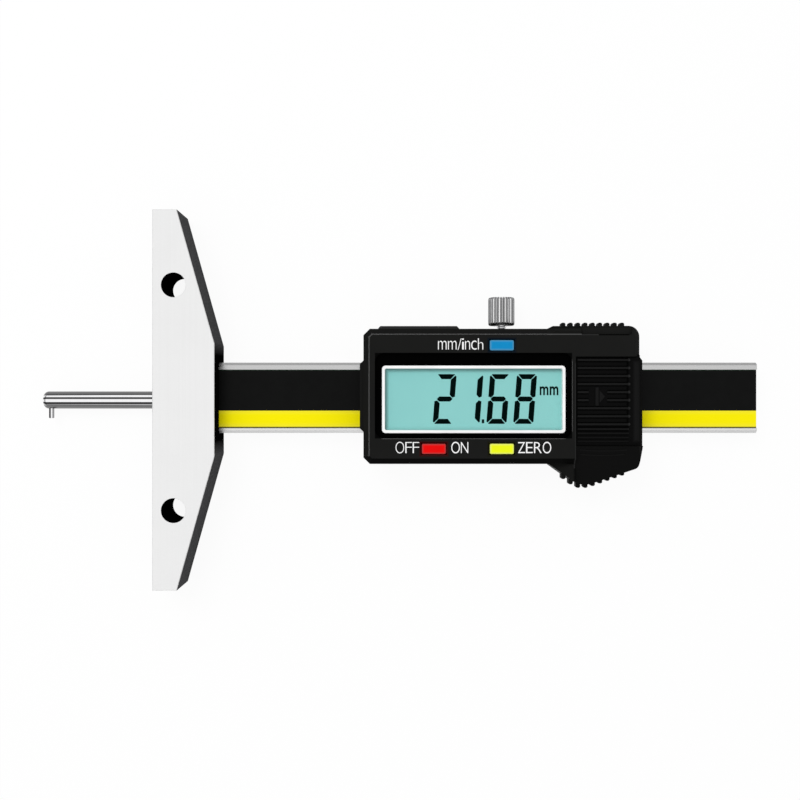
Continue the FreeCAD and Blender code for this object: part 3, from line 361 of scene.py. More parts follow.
# Plastics: colour, the painted light and shade of a bevelled rim, roughness, specular level, grains per
# metre, grain depth in thousandths of a millimetre, how much paler the edges are painted as a highlight, and
# how soft.
plainPlastic = dict(rough=0.50, shine=0.022, lines=2500, depth=3.0, edge=0.0, soft=0.05)
capPlastic = dict(rough=0.40, shine=0.05, depth=1.0, soft=0.14)
plastics = {
    "housing_plastic": dict(colour=(0.0108, 0.0109, 0.0104), lines=5200, depth=4.0, soft=0.30),
    "cover_plastic": dict(colour=grey(0.0036), rough=0.55, shine=0.02, lines=5200, soft=0.10),
    "port_plastic": dict(colour=(0.0060, 0.0060, 0.0059), lines=5200, depth=4.0, edge=0.02, soft=0.16,
                         rim=grey(0.022)),
    # painted shade like the thumb rest's, a little paler so that its ridges read as lit
    "thumb_plastic": dict(colour=(0.0066, 0.0066, 0.0065), lines=5200, soft=0.10),
    "bezel_plastic": dict(colour=grey(0.0006), rough=0.75, shine=0.01, lines=4200, depth=2.0),
    "ring_plastic": dict(colour=grey(0.97), rough=0.32, shine=0.4, lines=3000, depth=1.0, soft=0.12),
    "holder_plastic": dict(colour=(0.62, 0.61, 0.56), rough=0.45, shine=0.35, soft=0.1),
    "mode_blue": dict(capPlastic, colour=(0.006, 0.255, 0.56), rim=(0.085, 0.295, 0.50, 1.0)),
    "power_red": dict(capPlastic, colour=(0.80, 0.003, 0.003), rim=(0.47, 0.045, 0.045, 1.0)),
    "zero_yellow": dict(capPlastic, colour=(0.86, 0.95, 0.012), rim=(0.80, 0.88, 0.17, 1.0)),
    "board_laminate": dict(colour=(0.006, 0.045, 0.016), rough=0.30, shine=0.4, lines=1500, depth=2.0,
                           edge=0.05),
    "chip_resin": dict(colour=(0.012, 0.012, 0.014), rough=0.45, shine=0.4, lines=3500, edge=0.02),
    "strip_rubber": dict(colour=(0.20, 0.16, 0.14), rough=0.6, shine=0.3),
    "dome_rubber": dict(colour=(0.27, 0.28, 0.30), rough=0.6, shine=0.3, soft=0.1),
}


def makePlastic(name):
    look = plainPlastic | plastics[name]
    newFinish(name)
    cloud = noise(160.0, 4.0)
    tone = varied(cloud, look["colour"], 0.94, 1.06)
    # painted highlight: paler edges
    if look["edge"]:
        paler = [level + look["edge"] for level in look["colour"][:3]] + [1.0]
        tone = mixColours(edgeShare(look["soft"], 0.9), tone, paler)
    # painted light and shade on the bevelled rim, and on a button also round the border of its top
    if "rim" in look:
        height = xyz(surface("Normal"))["Z"]
        sloped = times(remap(height, 0.0, 1.0, 0.15, 0.35), remap(height, 1.0, 0.0, 0.93, 0.985))
        if name in buttonPlaces:
            flat = insideBox(buttonPlaces[name] + caps["flatHalf"], caps["fade"])
            sloped = calculate("MAXIMUM", sloped, minus(1.0, flat))
        tone = mixColours(sloped, tone, look["rim"])
    connect(colour=tone, rough=remap(cloud, look["rough"] - 0.05, look["rough"] + 0.06),
            shine=look["shine"], normal=bump(noise(look["lines"]), look["depth"], look["soft"]))
    return tone


def wallShare():
    # 1 on upright faces
    return remap(facing()["Z"], 1.0, 0.0, 0.05, 0.30)


buttonHalf = (2.80, 1.30)
shell = {
    "slopeBelow": (0.06, 0.85),     # painted shade: how dark the slanted edges next to the panel's face are, by how far they face down, then up
    "slopeAbove": (1.0, 0.72),
    "wall": 1.35,     # painted sheen: the upright sides are painted a little paler
    "edgeHighlight": grey(0.15),     # painted highlight on the upper and left edges of the panel
    "highlightFrom": 14.72, "highlightEnd": 94.3,     # lowest height, and right end
    "highlightWay": (-0.7, 0.7, 0.0),
    "brow": (91.0, 15.5, 3.8, 1.06),     # lower step in front of the upper teeth, painted with the shade of a slanted edge
    # each mark's colour, box, softness and share; first those that the upright sides cover
    "under": [(grey(0.093), (90.9, 14.37, 3.7, 0.05), 0.10, 0.85),     # painted highlight along the edge below the brow
              # the same painted highlight, fainter, further right
              (grey(0.093), (96.6, 14.3, 2.0, 0.05), 0.10, 0.30),
              (grey(0.0008), (101.7, 14.28, 3.3, 0.10), 0.10),     # painted shade in the pit behind the brow
              ((0.0046, 0.0046, 0.0045, 1.0), (101.0, -14.7, 7.75, 5.2), 0.3)],     # painted shade on the thumb rest
    "over": [(grey(0.020), (93.25, -3.5, 0.10, 11.5), 0.08),     # painted highlight along the edge beside the battery bay
             (grey(0.0008), (70.955, 0.94, 21.515, 9.33), 0.05),     # painted shade in the recess round the display
             # painted shade in the moulding round each button, tinted with the cap's colour
             ((0.0004, 0.0045, 0.011, 1.0), buttonPlaces["mode_blue"] + buttonHalf, 0.50),
             ((0.040, 0.0006, 0.0006, 1.0), buttonPlaces["power_red"] + buttonHalf, 0.50),
             ((0.0080, 0.0075, 0.0008, 1.0), buttonPlaces["zero_yellow"] + buttonHalf, 0.50)],
}


def makeHousingPlastic():
    look = plastics["housing_plastic"]
    tone = makePlastic("housing_plastic")
    side = facing()
    # painted shade on slanted faces, darkest where they face down
    sloped = remap(side["Z"], 1.0, 0.0, 0.90, 0.99)
    below = remap(side["Y"], *shell["slopeBelow"], -0.6, -0.1)
    above = remap(side["Y"], *shell["slopeAbove"], 0.1, 0.6)
    tone = mixColours(sloped, tone, dimmed(look["colour"], times(below, above)))
    # painted highlight on the edges that face up and left
    turned = vectorMath("DOT_PRODUCT", softNormal(look["soft"]), shell["highlightWay"], "Value")
    place = xyz(here())
    highlightShare = times(edgeShare(look["soft"], 1.0, 0.04), remap(turned, 0.0, 1.0, 0.03, 0.16))
    highlightShare = times(highlightShare, isPast(place["Z"], shell["highlightFrom"]))
    highlightShare = times(highlightShare, isBefore(place["X"], shell["highlightEnd"]))
    highlightShare = times(highlightShare, minus(1.0, insideBox(shell["brow"], 0.05)))
    tone = mixColours(highlightShare, tone, shell["edgeHighlight"])
    # painted shade on the brow, in the tone of a slanted edge
    tone = paintBox(tone, scaled(look["colour"], shell["slopeAbove"][1]), shell["brow"], 0.05)
    for mark in shell["under"]:
        tone = paintBox(tone, *mark)
    # painted sheen on the upright sides
    tone = mixColours(wallShare(), tone, scaled(look["colour"], shell["wall"]))
    for mark in shell["over"]:
        tone = paintBox(tone, *mark)
    connect(colour=tone)


ridgeLook = {
    "from": 14.62, "to": 14.78, "tone": grey(0.0112),     # heights between which the ridges turn to their painted highlight
    # the knobs at the right ends get a brighter painted glint
    "knobsFrom": 104.85, "knobGlint": grey(0.022),
    "fadeFrom": -5.9, "fadeTo": -8.4, "faded": 0.30,     # the painted highlight and the painted valley shade fade on the close lower ridges
    "fadedRidgeTone": grey(0.0078),
    "wallBelow": 14.4,
    "valleyTo": 14.52, "landFrom": 14.58,     # painted shade in the grooves, and lands between the ridges
    # colour, box and softness; the arrow's top takes a dimmer painted highlight
    "arrow": (grey(0.0096), (98.75, 0.75, 1.3, 2.2), 0.02),
    "flange": (grey(0.0088), (106.75, -0.3, 0.35, 8.4), 0.6),     # painted highlight along the bend
    # painted shade in the valleys between the ridges
    "valley": (grey(0.0008), (99.2, 0.15, 5.7, 9.1), 0.1),
}


def makeCoverPlastic():
    # painted highlight on the tops of the ridges, painted shade in the valleys between them
    tone = makePlastic("cover_plastic")
    place = xyz(here())
    knobs = isPast(place["X"], ridgeLook["knobsFrom"])
    top = mixColours(knobs, ridgeLook["tone"], ridgeLook["knobGlint"])
    top = paintBox(top, *ridgeLook["arrow"])
    fadeShare = remap(place["Y"], 1.0, 0.0, ridgeLook["fadeTo"] * mm, ridgeLook["fadeFrom"] * mm)
    top = mixColours(fadeShare, top, ridgeLook["fadedRidgeTone"])
    tone = paintBox(tone, *ridgeLook["flange"])
    low = remap(place["Z"], 1.0, 0.0, ridgeLook["valleyTo"] * mm, ridgeLook["landFrom"] * mm)
    low = times(low, remap(fadeShare, 1.0, ridgeLook["faded"], 0.0, 1.0))
    tone = paintBox(tone, *ridgeLook["valley"], low)
    # painted sheen: the upright sides below wallBelow take the ridges' paler tone
    wall = times(wallShare(), isBefore(place["Z"], ridgeLook["wallBelow"]))
    tone = mixColours(wall, tone, ridgeLook["tone"])
    ridge = remap(place["Z"], 0.0, 1.0, ridgeLook["from"] * mm, ridgeLook["to"] * mm)
    connect(colour=mixColours(ridge, tone, top))


label = {
    "split": -2.42,     # black above, yellow below
    "trim": -6.06,     # painted shadow along the lower edge
    "black": (0.0035, 0.0036, 0.0035),
    "yellow": (1.0, 0.88, 0.0012, 1.0),
    "yellowPale": (0.95, 0.84, 0.030, 1.0),     # at the edges of the band
    "paleFrom": 0.45,     # share of the band's half width
    "trimColour": (0.22, 0.19, 0.012, 1.0),
}


def makeLabelFilm():
    newFinish("label_film")
    place = xyz(here())["Y"]
    cloud = noise(400.0, 4.0)
    middle = (label["split"] + label["trim"]) / 2 * mm
    reach = (label["split"] - label["trim"]) / 2 * mm
    across = calculate("ABSOLUTE", minus(place, middle))
    pale = remap(across, 0.0, 1.0, reach * label["paleFrom"], reach)
    yellow = mixColours(pale, label["yellow"], label["yellowPale"])
    tone = mixColours(isBefore(place, label["split"]), varied(cloud, label["black"], 1, 1.35), yellow)
    tone = mixColours(isBefore(place, label["trim"]), tone, label["trimColour"])
    connect(colour=tone, rough=remap(cloud, 0.30, 0.42), normal=bump(cloud, 1.5, 0.05), shine=0.05)


glass = {
    "teal": (0.262, 0.655, 0.625, 1.0),
    "deep": (0.245, 0.620, 0.600, 1.0),
    "shade": (0.10, 0.17, 0.165, 1.0),     # along the edges of the window
    # left, upper and lower edge, the way inwards, strength and reach of the shade
    "edges": [("X", 51.6, 1, 0.8, 0.9), ("Y", 6.885, -1, 0.7, 0.9), ("Y", -6.615, 1, 0.3, 0.7)],
}


def makeDisplayGlass():
    newFinish("display_glass")
    place = xyz(here())
    speck = noise(5000.0, 2.0)
    tone = mixColours(remap(noise(60.0), 0, 1), glass["teal"], glass["deep"])
    tone = mixColours(remap(speck, 0.0, 0.10), tone, grey(0.65))
    fade = 0.0
    for axis, edge, way, strength, reach in glass["edges"]:
        inward = times(minus(place[axis], edge * mm), way)
        fade = calculate("MAXIMUM", fade, remap(inward, strength, 0.0, 0.0, reach * mm))
    connect(colour=mixColours(fade, tone, glass["shade"]), rough=remap(speck, 0.32, 0.42),
            normal=bump(speck, 1.0, 0.05), shine=0.12)


def makeLens():
    newFinish("lens_acrylic")
    cloud = noise(300.0)
    connect(colour=(0.02, 0.04, 0.04, 1.0), rough=remap(cloud, 0.03, 0.09), normal=bump(cloud, 1.0, 0.1),
            alpha=0.01, bend=1.06)


inks = {
    # colour, lowest roughness and specular level
    "panel_ink": (grey(0.97), 0.4, 0.2),
    "display_ink": ((0.0006, 0.0038, 0.0034), 0.5, 0.0),
}


def makeInk(name):
    colour, roughness, shine = inks[name]
    newFinish(name)
    cloud = noise(2500.0)
    connect(colour=varied(cloud, colour, 0.95, 1.05), rough=remap(cloud, roughness, roughness + 0.08),
            normal=bump(cloud, 1.0, 0.03), shine=shine)


for make in (makeBaseSteel, makeBeamSteel, makeLockSteel, makeHousingPlastic, makeCoverPlastic,
             makeLabelFilm, makeDisplayGlass, makeLens):
    make()
makeGroundSteel("rod_steel", "Y", 0.0)
makeGroundSteel("pin_steel", "X", pin["x"])
for make, names in ((makeMetal, metals), (makePlastic, plastics), (makeInk, inks)):
    for name in names:
        if name not in finishes:
            make(name)
for node in nodes.values():
    for place in node.material_slots:
        place.material = finishes[place.material.name.split(".")[0]]
print("finishes:", len(finishes))


def addObject(name, content):
    thing = bpy.data.objects.new(name, content)
    bpy.context.scene.collection.objects.link(thing)
    return thing


def newPiece(name, bm, material, body, stands=(), sharpFrom=35):
    ops.remove_doubles(bm, verts=bm.verts, dist=1e-7)
    ops.recalc_face_normals(bm, faces=bm.faces)
    mesh = bpy.data.meshes.new(name)
    bm.to_mesh(mesh)
    bm.free()
    mesh.materials.append(finishes[material])
    mesh.shade_smooth()
    mesh.set_sharp_from_angle(angle=math.radians(sharpFrom))
    piece = addObject(name, mesh)
    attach(piece, body)
    if stands:
        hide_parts(*stands)


def addBox(bm, low, high):
    fit = Matrix.LocRotScale((low + high) / 2, None, high - low)
    return ops.create_cube(bm, size=1, matrix=fit)["verts"]


def edgesOf(verts, wanted):
    edges = {edge for vert in verts for edge in vert.link_edges}
    return [edge for edge in edges if wanted((edge.verts[1].co - edge.verts[0].co).normalized(), edge)]


def isUpright(way, edge):
    return abs(way.z) > 0.99


def facesUp(edge):
    return any(face.normal.z > 0.9 for face in edge.link_faces)


def roundsTop(way, edge):
    # a level edge round a flat top
    return abs(way.z) < 0.01 and facesUp(edge)


def soften(bm, edges, width, steps):
    ops.bevel(bm, geom=edges, offset=width * mm, offset_type="OFFSET", segments=steps, profile=0.5,
              affect="EDGES", material=-1, clamp_overlap=True)


def roundedBlock(bm, low, high, corner, top, cornerSteps, topSteps):
    # a block with rounded upright corners and a rounded upper rim
    before = set(bm.verts)
    soften(bm, edgesOf(addBox(bm, low, high), isUpright), corner, cornerSteps)
    bm.normal_update()
    fresh = [vert for vert in bm.verts if vert not in before]
    rim = edgesOf(fresh, lambda way, edge: roundsTop(way, edge) and edge.verts[0].co.z > high.z - 1e-6)
    soften(bm, rim, top, topSteps)


def only(items, kind):
    return [item for item in items if isinstance(item, kind)]


def drawOut(bm, faces, way):
    risen = ops.extrude_face_region(bm, geom=faces)["geom"]
    ops.translate(bm, verts=only(risen, bmesh.types.BMVert), vec=way)


def prism(bm, corners, way):
    drawOut(bm, [bm.faces.new([bm.verts.new(corner) for corner in corners])], way)


def turn(bm, outline, middle, axis, steps):
    # an open outline of points turned all the way round an axis through middle
    chain = [bm.verts.new(point) for point in outline]
    links = [bm.edges.new(pair) for pair in zip(chain, chain[1:])]
    ops.spin(bm, geom=chain + links, cent=middle, axis=axis, angle=math.tau, steps=steps, use_merge=True,
             use_duplicate=False)
    ops.remove_doubles(bm, verts=bm.verts, dist=1e-7)


def roundBar(bm, start, end, out, steps):
    # between two points on its axis; out is the radius as a vector
    turn(bm, [start, start + out, end + out, end], start, (end - start).normalized(), steps)


def ringAt(bm, axis, level):
    return [edge for edge in bm.edges
            if all(abs(vert.co[axis] - level * mm) < 1e-6 for vert in edge.verts)
            and len(edge.link_faces) == 2 and edge.calc_face_angle(0) > 1]


def makeRod():
    bm = bmesh.new()
    z = rod["height"]
    roundBar(bm, at(rod["tip"], 0, z), at(rod["end"], 0, z), at(0, rod["radius"]), 128)
    soften(bm, ringAt(bm, 0, rod["tip"]), *rod["tipRound"])
    soften(bm, ringAt(bm, 0, rod["end"]), *rod["endRound"])
    newPiece("ground_rod", bm, "rod_steel", "slider", ["depth_rod"])


def makePin():
    bm = bmesh.new()
    x = pin["x"]
    z = rod["height"]
    roundBar(bm, at(x, pin["drop"], z), at(x, pin["inside"], z), at(pin["radius"], 0), 48)
    soften(bm, ringAt(bm, 1, pin["drop"]), *pin["round"])
    newPiece("hook_pin_turned", bm, "pin_steel", "slider", ["hook_pin"])


def lockPoint(radius, along):
    return at(lock["x"] + radius, along, lock["z"])


def cutKnurl(bm, middle):
    # ribs between narrow grooves, which run out below the rims
    for vert in bm.verts:
        out = (vert.co - middle).xz
        if out.length > lock["ribsInside"] * mm:
            angle = math.atan2(out.y, out.x) - math.radians(lock["turned"])
            groove = 0.5 + 0.5 * math.cos(lock["ribs"] * angle)
            share = 1 - lock["ribDepth"] / lock["radius"] * groove ** lock["ribSlope"]
            vert.co.x = middle.x + out.x * share
            vert.co.z = middle.z + out.y * share
            beyond = vert.co.y - (lock["head"] + lock["end"]) / 2 * mm
            vert.co.y -= math.copysign(lock["runOut"] * mm * groove, beyond)


def makeLockScrew():
    bm = bmesh.new()
    middle = lockPoint(0, 0)
    floor = lock["end"] - lock["dishDepth"]
    head = [(0, lock["head"]), (lock["radius"], lock["head"]), (lock["radius"], lock["end"]),
            (lock["dish"], lock["end"]), (lock["dish"] - lock["dishSlope"], floor), (0, floor)]
    turn(bm, [lockPoint(*corner) for corner in head], middle, (0, 1, 0), lock["ribs"] * 8)
    rims = [edge for edge in ringAt(bm, 1, lock["head"]) + ringAt(bm, 1, lock["end"])
            if (edge.verts[0].co - middle).xz.length > lock["ribsInside"] * mm]
    soften(bm, rims, lock["headRound"], 3)
    cutKnurl(bm, middle)
    shank = [(0, lock["tip"]), (lock["root"], lock["tip"])]
    along = lock["tip"] + 0.2
    while along < lock["shankEnd"]:
        shank += [(lock["root"], along)]
        shank += [(lock["shank"], along + lock["pitch"] * share) for share in lock["crest"]]
        along += lock["pitch"]
    shank += [(lock["neck"], along)]
    for groove in lock["neckGrooves"]:
        shank += [(lock["neck"], groove - lock["grooveHalf"]), (lock["neck"] - lock["neckDeep"], groove),
                  (lock["neck"], groove + lock["grooveHalf"])]
    inside = lock["head"] + 0.05
    shank += [(lock["neck"], inside), (0, inside)]
    turn(bm, [lockPoint(*corner) for corner in shank], middle, (0, 1, 0), 48)
    newPiece("knurled_lock_screw", bm, "lock_steel", "lock_screw", ["lock_screw"], 28)


def makeButtons():
    for colour, (x, y) in buttonPlaces.items():
        node = colour.split("_")[0] + "_button"
        bm = bmesh.new()
        long = caps["long"] / 2
        wide = caps["wide"] / 2
        roundedBlock(bm, at(x - long, y - wide, caps["under"]), at(x + long, y + wide, caps["top"]),
                     caps["corner"], caps["rim"], 5, 4)
        long += caps["flange"]
        wide += caps["flange"]
        roundedBlock(bm, at(x - long, y - wide, caps["flangeUnder"]), at(x + long, y + wide, caps["under"]),
                     caps["corner"], caps["flangeRim"], 4, 1)
        roundBar(bm, at(x, y, caps["stemUnder"]), at(x, y, caps["flangeUnder"]), at(caps["stem"], 0), 32)
        newPiece(node.replace("button", "cap"), bm, colour, node, [node])


cover = {
    "left": 93.4, "bend": 106.8, "right": 108.3, "inner": 107.58, "low": -10.07, "high": 9.4,
    "under": 13.75, "top": 14.5, "shoulder": 13.1, "flangeLow": 10.1, "edge": 0.12, "corner": 0.70,
    "tongue": 0.5, "tongueTop": 14.22, "tonguePlay": 0.1,
    # middle of each ridge and its height, first those that end in a knob, then the close ones
    "ridges": [(8.75, 0.38), (6.99, 0.38), (5.23, 0.38), (3.47, 0.38), (1.71, 0.38), (-0.05, 0.38),
               (-1.81, 0.38), (-3.57, 0.38), (-5.33, 0.36)],
    "closeRidges": [(-6.37, 0.27), (-7.30, 0.24), (-8.22, 0.23), (-9.05, 0.22)],
    "ridgeLeft": 93.7, "ridgeRight": 105.0, "ridgeWide": 0.50, "closeWide": 0.42,
    "knob": 0.36, "knobRise": 0.08, "sunk": 0.1,     # every raised part starts this far inside the cover
    "valley": 0.47, "landTall": 0.10, "landRight": 104.5,     # raised strips between the ridges
    "arrowLeft": 97.65, "arrowRight": 99.75, "arrowY": 0.75, "arrowBar": 0.7, "arrowHalf": 2.0,
    "headHalf": 1.4, "arrowGap": 0.45, "arrowTall": 0.28, "arrowClear": 1.45, "overlap": 0.05,
}


def addRidge(bm, right, y, wide, tall):
    # a strip across the cover; one beside the arrow stops short of it
    spans = [(cover["ridgeLeft"], right)]
    if abs(y - cover["arrowY"]) < cover["arrowHalf"] + cover["arrowGap"]:
        spans = [(cover["ridgeLeft"], cover["arrowLeft"] - cover["arrowClear"]),
                 (cover["arrowRight"] + cover["arrowGap"], right)]
    for start, end in spans:
        made = addBox(bm, at(start, y - wide / 2, cover["top"] - cover["sunk"]),
                      at(end, y + wide / 2, cover["top"] + tall))
        bm.normal_update()
        soften(bm, edgesOf(made, roundsTop), tall * 0.4, 2)


def addCoverShell(bm):
    profile = [(cover["left"], cover["under"]), (cover["inner"], cover["under"]),
               (cover["inner"], cover["flangeLow"]), (cover["right"], cover["flangeLow"]),
               (cover["right"], cover["shoulder"]), (cover["bend"], cover["top"]),
               (cover["left"], cover["top"])]
    prism(bm, [at(x, cover["low"], z) for x, z in profile], at(0, cover["high"] - cover["low"]))
    ops.recalc_face_normals(bm, faces=bm.faces)
    right = cover["right"] * mm - 1e-6
    corner = edgesOf(bm.verts, lambda way, edge: isUpright(way, edge)
                     and all(vert.co.x > right and vert.co.y > 0 for vert in edge.verts))
    soften(bm, corner, cover["corner"], 1)
    bm.normal_update()
    soften(bm, edgesOf(bm.verts, lambda way, edge: abs(way.z) < 0.9 and facesUp(edge)), cover["edge"], 2)
    addBox(bm, at(cover["left"], cover["low"] - cover["tongue"], cover["under"]),
           at(cover["inner"] - cover["tonguePlay"], cover["high"] + cover["tongue"], cover["tongueTop"]))


def addArrow(bm, above, below):
    # a bar and a head, on a land that reaches the ridges above and below
    base = cover["top"] - cover["sunk"]
    top = cover["top"] + cover["arrowTall"]
    middle = cover["arrowY"]
    left = cover["arrowLeft"]
    right = cover["arrowRight"]
    neck = left + cover["arrowBar"]
    start = neck + cover["arrowBar"] / 4
    addBox(bm, at(left - cover["arrowClear"] - cover["overlap"], below + cover["valley"], base),
           at(right + cover["arrowGap"] + cover["overlap"], above - cover["valley"],
              cover["top"] + cover["landTall"]))
    addBox(bm, at(left, middle - cover["arrowHalf"], base), at(neck, middle + cover["arrowHalf"], top))
    head = [(start, middle - cover["headHalf"]), (right, middle), (start, middle + cover["headHalf"])]
    prism(bm, [at(x, y, base) for x, y in head], at(0, 0, top - base))


def makeBatteryCover():
    bm = bmesh.new()
    addCoverShell(bm)
    rows = [y for y, tall in cover["ridges"]]
    for above, below in zip(rows, rows[1:]):
        wide = above - below - 2 * cover["valley"]
        addRidge(bm, cover["landRight"], (above + below) / 2, wide, cover["landTall"])
    for y, tall in cover["ridges"]:
        addRidge(bm, cover["ridgeRight"], y, cover["ridgeWide"], tall)
        spot = Matrix.Translation(at(cover["ridgeRight"], y, cover["top"] + cover["knobRise"]))
        ops.create_uvsphere(bm, u_segments=14, v_segments=8, radius=cover["knob"] * mm, matrix=spot)
    for y, tall in cover["closeRidges"]:
        addRidge(bm, cover["ridgeRight"], y, cover["closeWide"], tall)
    addArrow(bm, min(y for y in rows if y > cover["arrowY"] + cover["arrowHalf"]),
             max(y for y in rows if y < cover["arrowY"] - cover["arrowHalf"]))
    node = "battery_cover"
    newPiece("ridged_battery_cover", bm, "cover_plastic", node, [node])


thumbRest = {
    # each ridge's middle, left and right end on the slope below the battery cover
    "ridges": [(-11.15, 94.2, 104.6), (-12.15, 94.4, 104.2)],
    "wide": 0.36, "tall": 0.08, "sunk": 0.15, "bow": 0.22, "steps": 16,
    "slopeTop": 15.0, "slopeStart": -9.9, "fall": 3.5 / 9.6,
}


def makeThumbRest():
    bm = bmesh.new()
    half = thumbRest["wide"] / 2
    for middle, left, right in thumbRest["ridges"]:
        level = thumbRest["slopeTop"] - (thumbRest["slopeStart"] - middle) * thumbRest["fall"]
        made = addBox(bm, at(left, middle - half, level - thumbRest["sunk"]),
                      at(right, middle + half, level + thumbRest["tall"]))
        along = edgesOf(made, lambda way, edge: abs(way.x) > 0.99)
        ops.subdivide_edges(bm, edges=along, cuts=thumbRest["steps"], use_grid_fill=True)
        for vert in [vert for vert in bm.verts if abs(vert.co.y - middle * mm) < (half + 0.01) * mm]:
            share = (vert.co.x / mm - left) / (right - left)     # a shallow bow that follows the slope
            shift = thumbRest["bow"] * (2 * share - 1) ** 2
            vert.co.z += (vert.co.y - middle * mm) * thumbRest["fall"] + shift * mm * thumbRest["fall"]
            vert.co.y += shift * mm
    newPiece("thumb_rest_ridges", bm, "thumb_plastic", "slider")


port = {
    "left": 49.9, "right": 68.2, "face": 15.73, "high": 16.5, "under": 5.0, "top": 11.0, "slant": 0.6,
    "edge": 0.06, "chamfer": 0.62, "lipLow": 6.57, "lipHigh": 9.43, "back": 15.08, "wing": 0.3, "lap": 0.05,
}


def makePortCover():
    bm = bmesh.new()
    face = port["face"]
    high = port["high"]
    left = port["left"] + port["slant"]
    right = port["right"] - port["slant"]
    outline = [(port["left"], face), (port["right"], face), (right, high), (left, high)]
    prism(bm, [at(x, y, port["under"]) for x, y in outline], at(0, 0, port["top"] - port["under"]))
    ops.recalc_face_normals(bm, faces=bm.faces)
    long = edgesOf(bm.verts, lambda way, edge: abs(way.x) > 0.99 and edge.verts[0].co.y > high * mm - 1e-6)
    soften(bm, long, port["chamfer"], 1)
    outer = edgesOf(bm.verts, lambda way, edge: sum(vert.co.y for vert in edge.verts) > 2 * face * mm + 1e-5)
    soften(bm, outer, port["edge"], 2)
    low = port["lipLow"]
    top = port["lipHigh"]
    dovetail = [(face + port["lap"], low), (face + port["lap"], top), (port["back"], top + port["wing"]),
                (port["back"], low - port["wing"])]
    prism(bm, [at(left, y, z) for y, z in dovetail], at(right - left, 0))
    newPiece("sliding_port_cover", bm, "port_plastic", "port_cover", ["port_cover"])


bezel = {
    # left, right, lower and upper side, and the radius of the corners
    "outline": ((49.46, 92.45, -8.37, 10.25), 1.98),
    "window": ((50.9, 91.2, -7.31, 7.58), 0.8),
    "under": 14.0, "thick": 0.06, "steps": 8,
}


def roundedLoop(bm, sides, corner):
    # the edges of a flat rectangle with rounded corners
    left, right, low, high = sides
    corners = [bm.verts.new(at(x, y, bezel["under"]))
               for x, y in ((left, low), (right, low), (right, high), (left, high))]
    bm.faces.new(corners)
    made = ops.bevel(bm, geom=corners, offset=corner * mm, offset_type="OFFSET", segments=bezel["steps"],
                     profile=0.5, affect="VERTICES", material=-1)
    whole = made["verts"][0].link_faces[0]
    edges = list(whole.edges)
    bm.faces.remove(whole)
    return edges


def makeBezel():
    bm = bmesh.new()
    edges = roundedLoop(bm, *bezel["outline"]) + roundedLoop(bm, *bezel["window"])
    drawOut(bm, ops.bridge_loops(bm, edges=edges)["faces"], at(0, 0, bezel["thick"]))
    newPiece("display_bezel", bm, "bezel_plastic", "slider")


screws = {
    # each group of countersunk screws: shank radius, head flare, lower end, upper end, body and places
    "base_screws": (1.45, 1.3, 0.0, 5.6, "beam", [(9.0, -4.5), (9.0, 5.5)]),
    "stop_screws": (0.95, 0.9, 1.2, 5.4, "beam", [(133.4, -3.9), (133.4, 4.9)]),
    "housing_screws": (0.95, 0.9, 0.0, 11.4, "slider",
                       [(53.5, -10.1), (53.5, 11.8), (100.5, -10.1), (100.5, 11.8)]),
    "plate_screws": (0.95, 0.9, 0.0, 5.5, "slider",
                     [(61.0, -10.1), (61.0, 11.8), (92.0, -10.1), (92.0, 11.8)]),
    "rod_screws": (0.75, 0.7, 0.0, 3.9, "slider", [(98.0, 0.0), (104.0, 0.0)]),
}
recess = {
    "arm": 0.62, "half": 0.17,     # reach and half width of the cross, as shares of the head
    "taper": 0.55, "deep": 0.55,     # the share left at its floor, and how deep that is
    "rim": 0.05, "turned": 0.4, "tipRound": 0.2,
}


def grownRing(bm, edges, middle, share, rise):
    # a ring of edges drawn out to a scaled copy of itself
    made = ops.extrude_edge_only(bm, edges=edges)["geom"]
    verts = only(made, bmesh.types.BMVert)
    ops.scale(bm, verts=verts, vec=(share, share, 1), space=Matrix.Translation(-middle))
    ops.translate(bm, verts=verts, vec=at(0, 0, rise))
    return only(made, bmesh.types.BMEdge)


def addRing(bm, radius, place):
    verts = ops.create_circle(bm, segments=48, radius=radius * mm, matrix=place)["verts"]
    return verts, list({edge for vert in verts for edge in vert.link_edges})


def addScrew(bm, middle, radius, flare, tall):
    wide = radius + flare
    place = Matrix.LocRotScale(middle, Matrix.Rotation(recess["turned"], 3, "Z"), None)
    now = wide - recess["rim"]
    outer = addRing(bm, now, place)[1]
    cross, slot = addRing(bm, 1, place)
    for vert in cross:     # the circle is pulled into a cross
        way = place.inverted() @ vert.co
        angle = (math.atan2(way.y, way.x) + math.tau / 8) % (math.tau / 4) - math.tau / 8
        reach = min(recess["arm"] / math.cos(angle), recess["half"] / max(abs(math.sin(angle)), 0.01))
        vert.co = place @ (way * reach * wide)
    ops.bridge_loops(bm, edges=slot + outer)
    ops.contextual_create(bm, geom=grownRing(bm, slot, middle, recess["taper"], recess["deep"]))
    level = 0
    tip = recess["tipRound"]
    rings = [(wide, recess["rim"]), (radius, flare), (radius, tall - tip), (radius - tip, tall)]
    for reach, height in rings:
        outer = grownRing(bm, outer, middle, reach / now, height - level)
        now = reach
        level = height
    ops.contextual_create(bm, geom=outer)


def makeScrews():
    for name, (radius, flare, under, end, body, places) in screws.items():
        bm = bmesh.new()
        for x, y in places:
            addScrew(bm, at(x, y, under), radius, flare, end - under)
        newPiece("cross_" + name, bm, "screw_steel", body, [name])


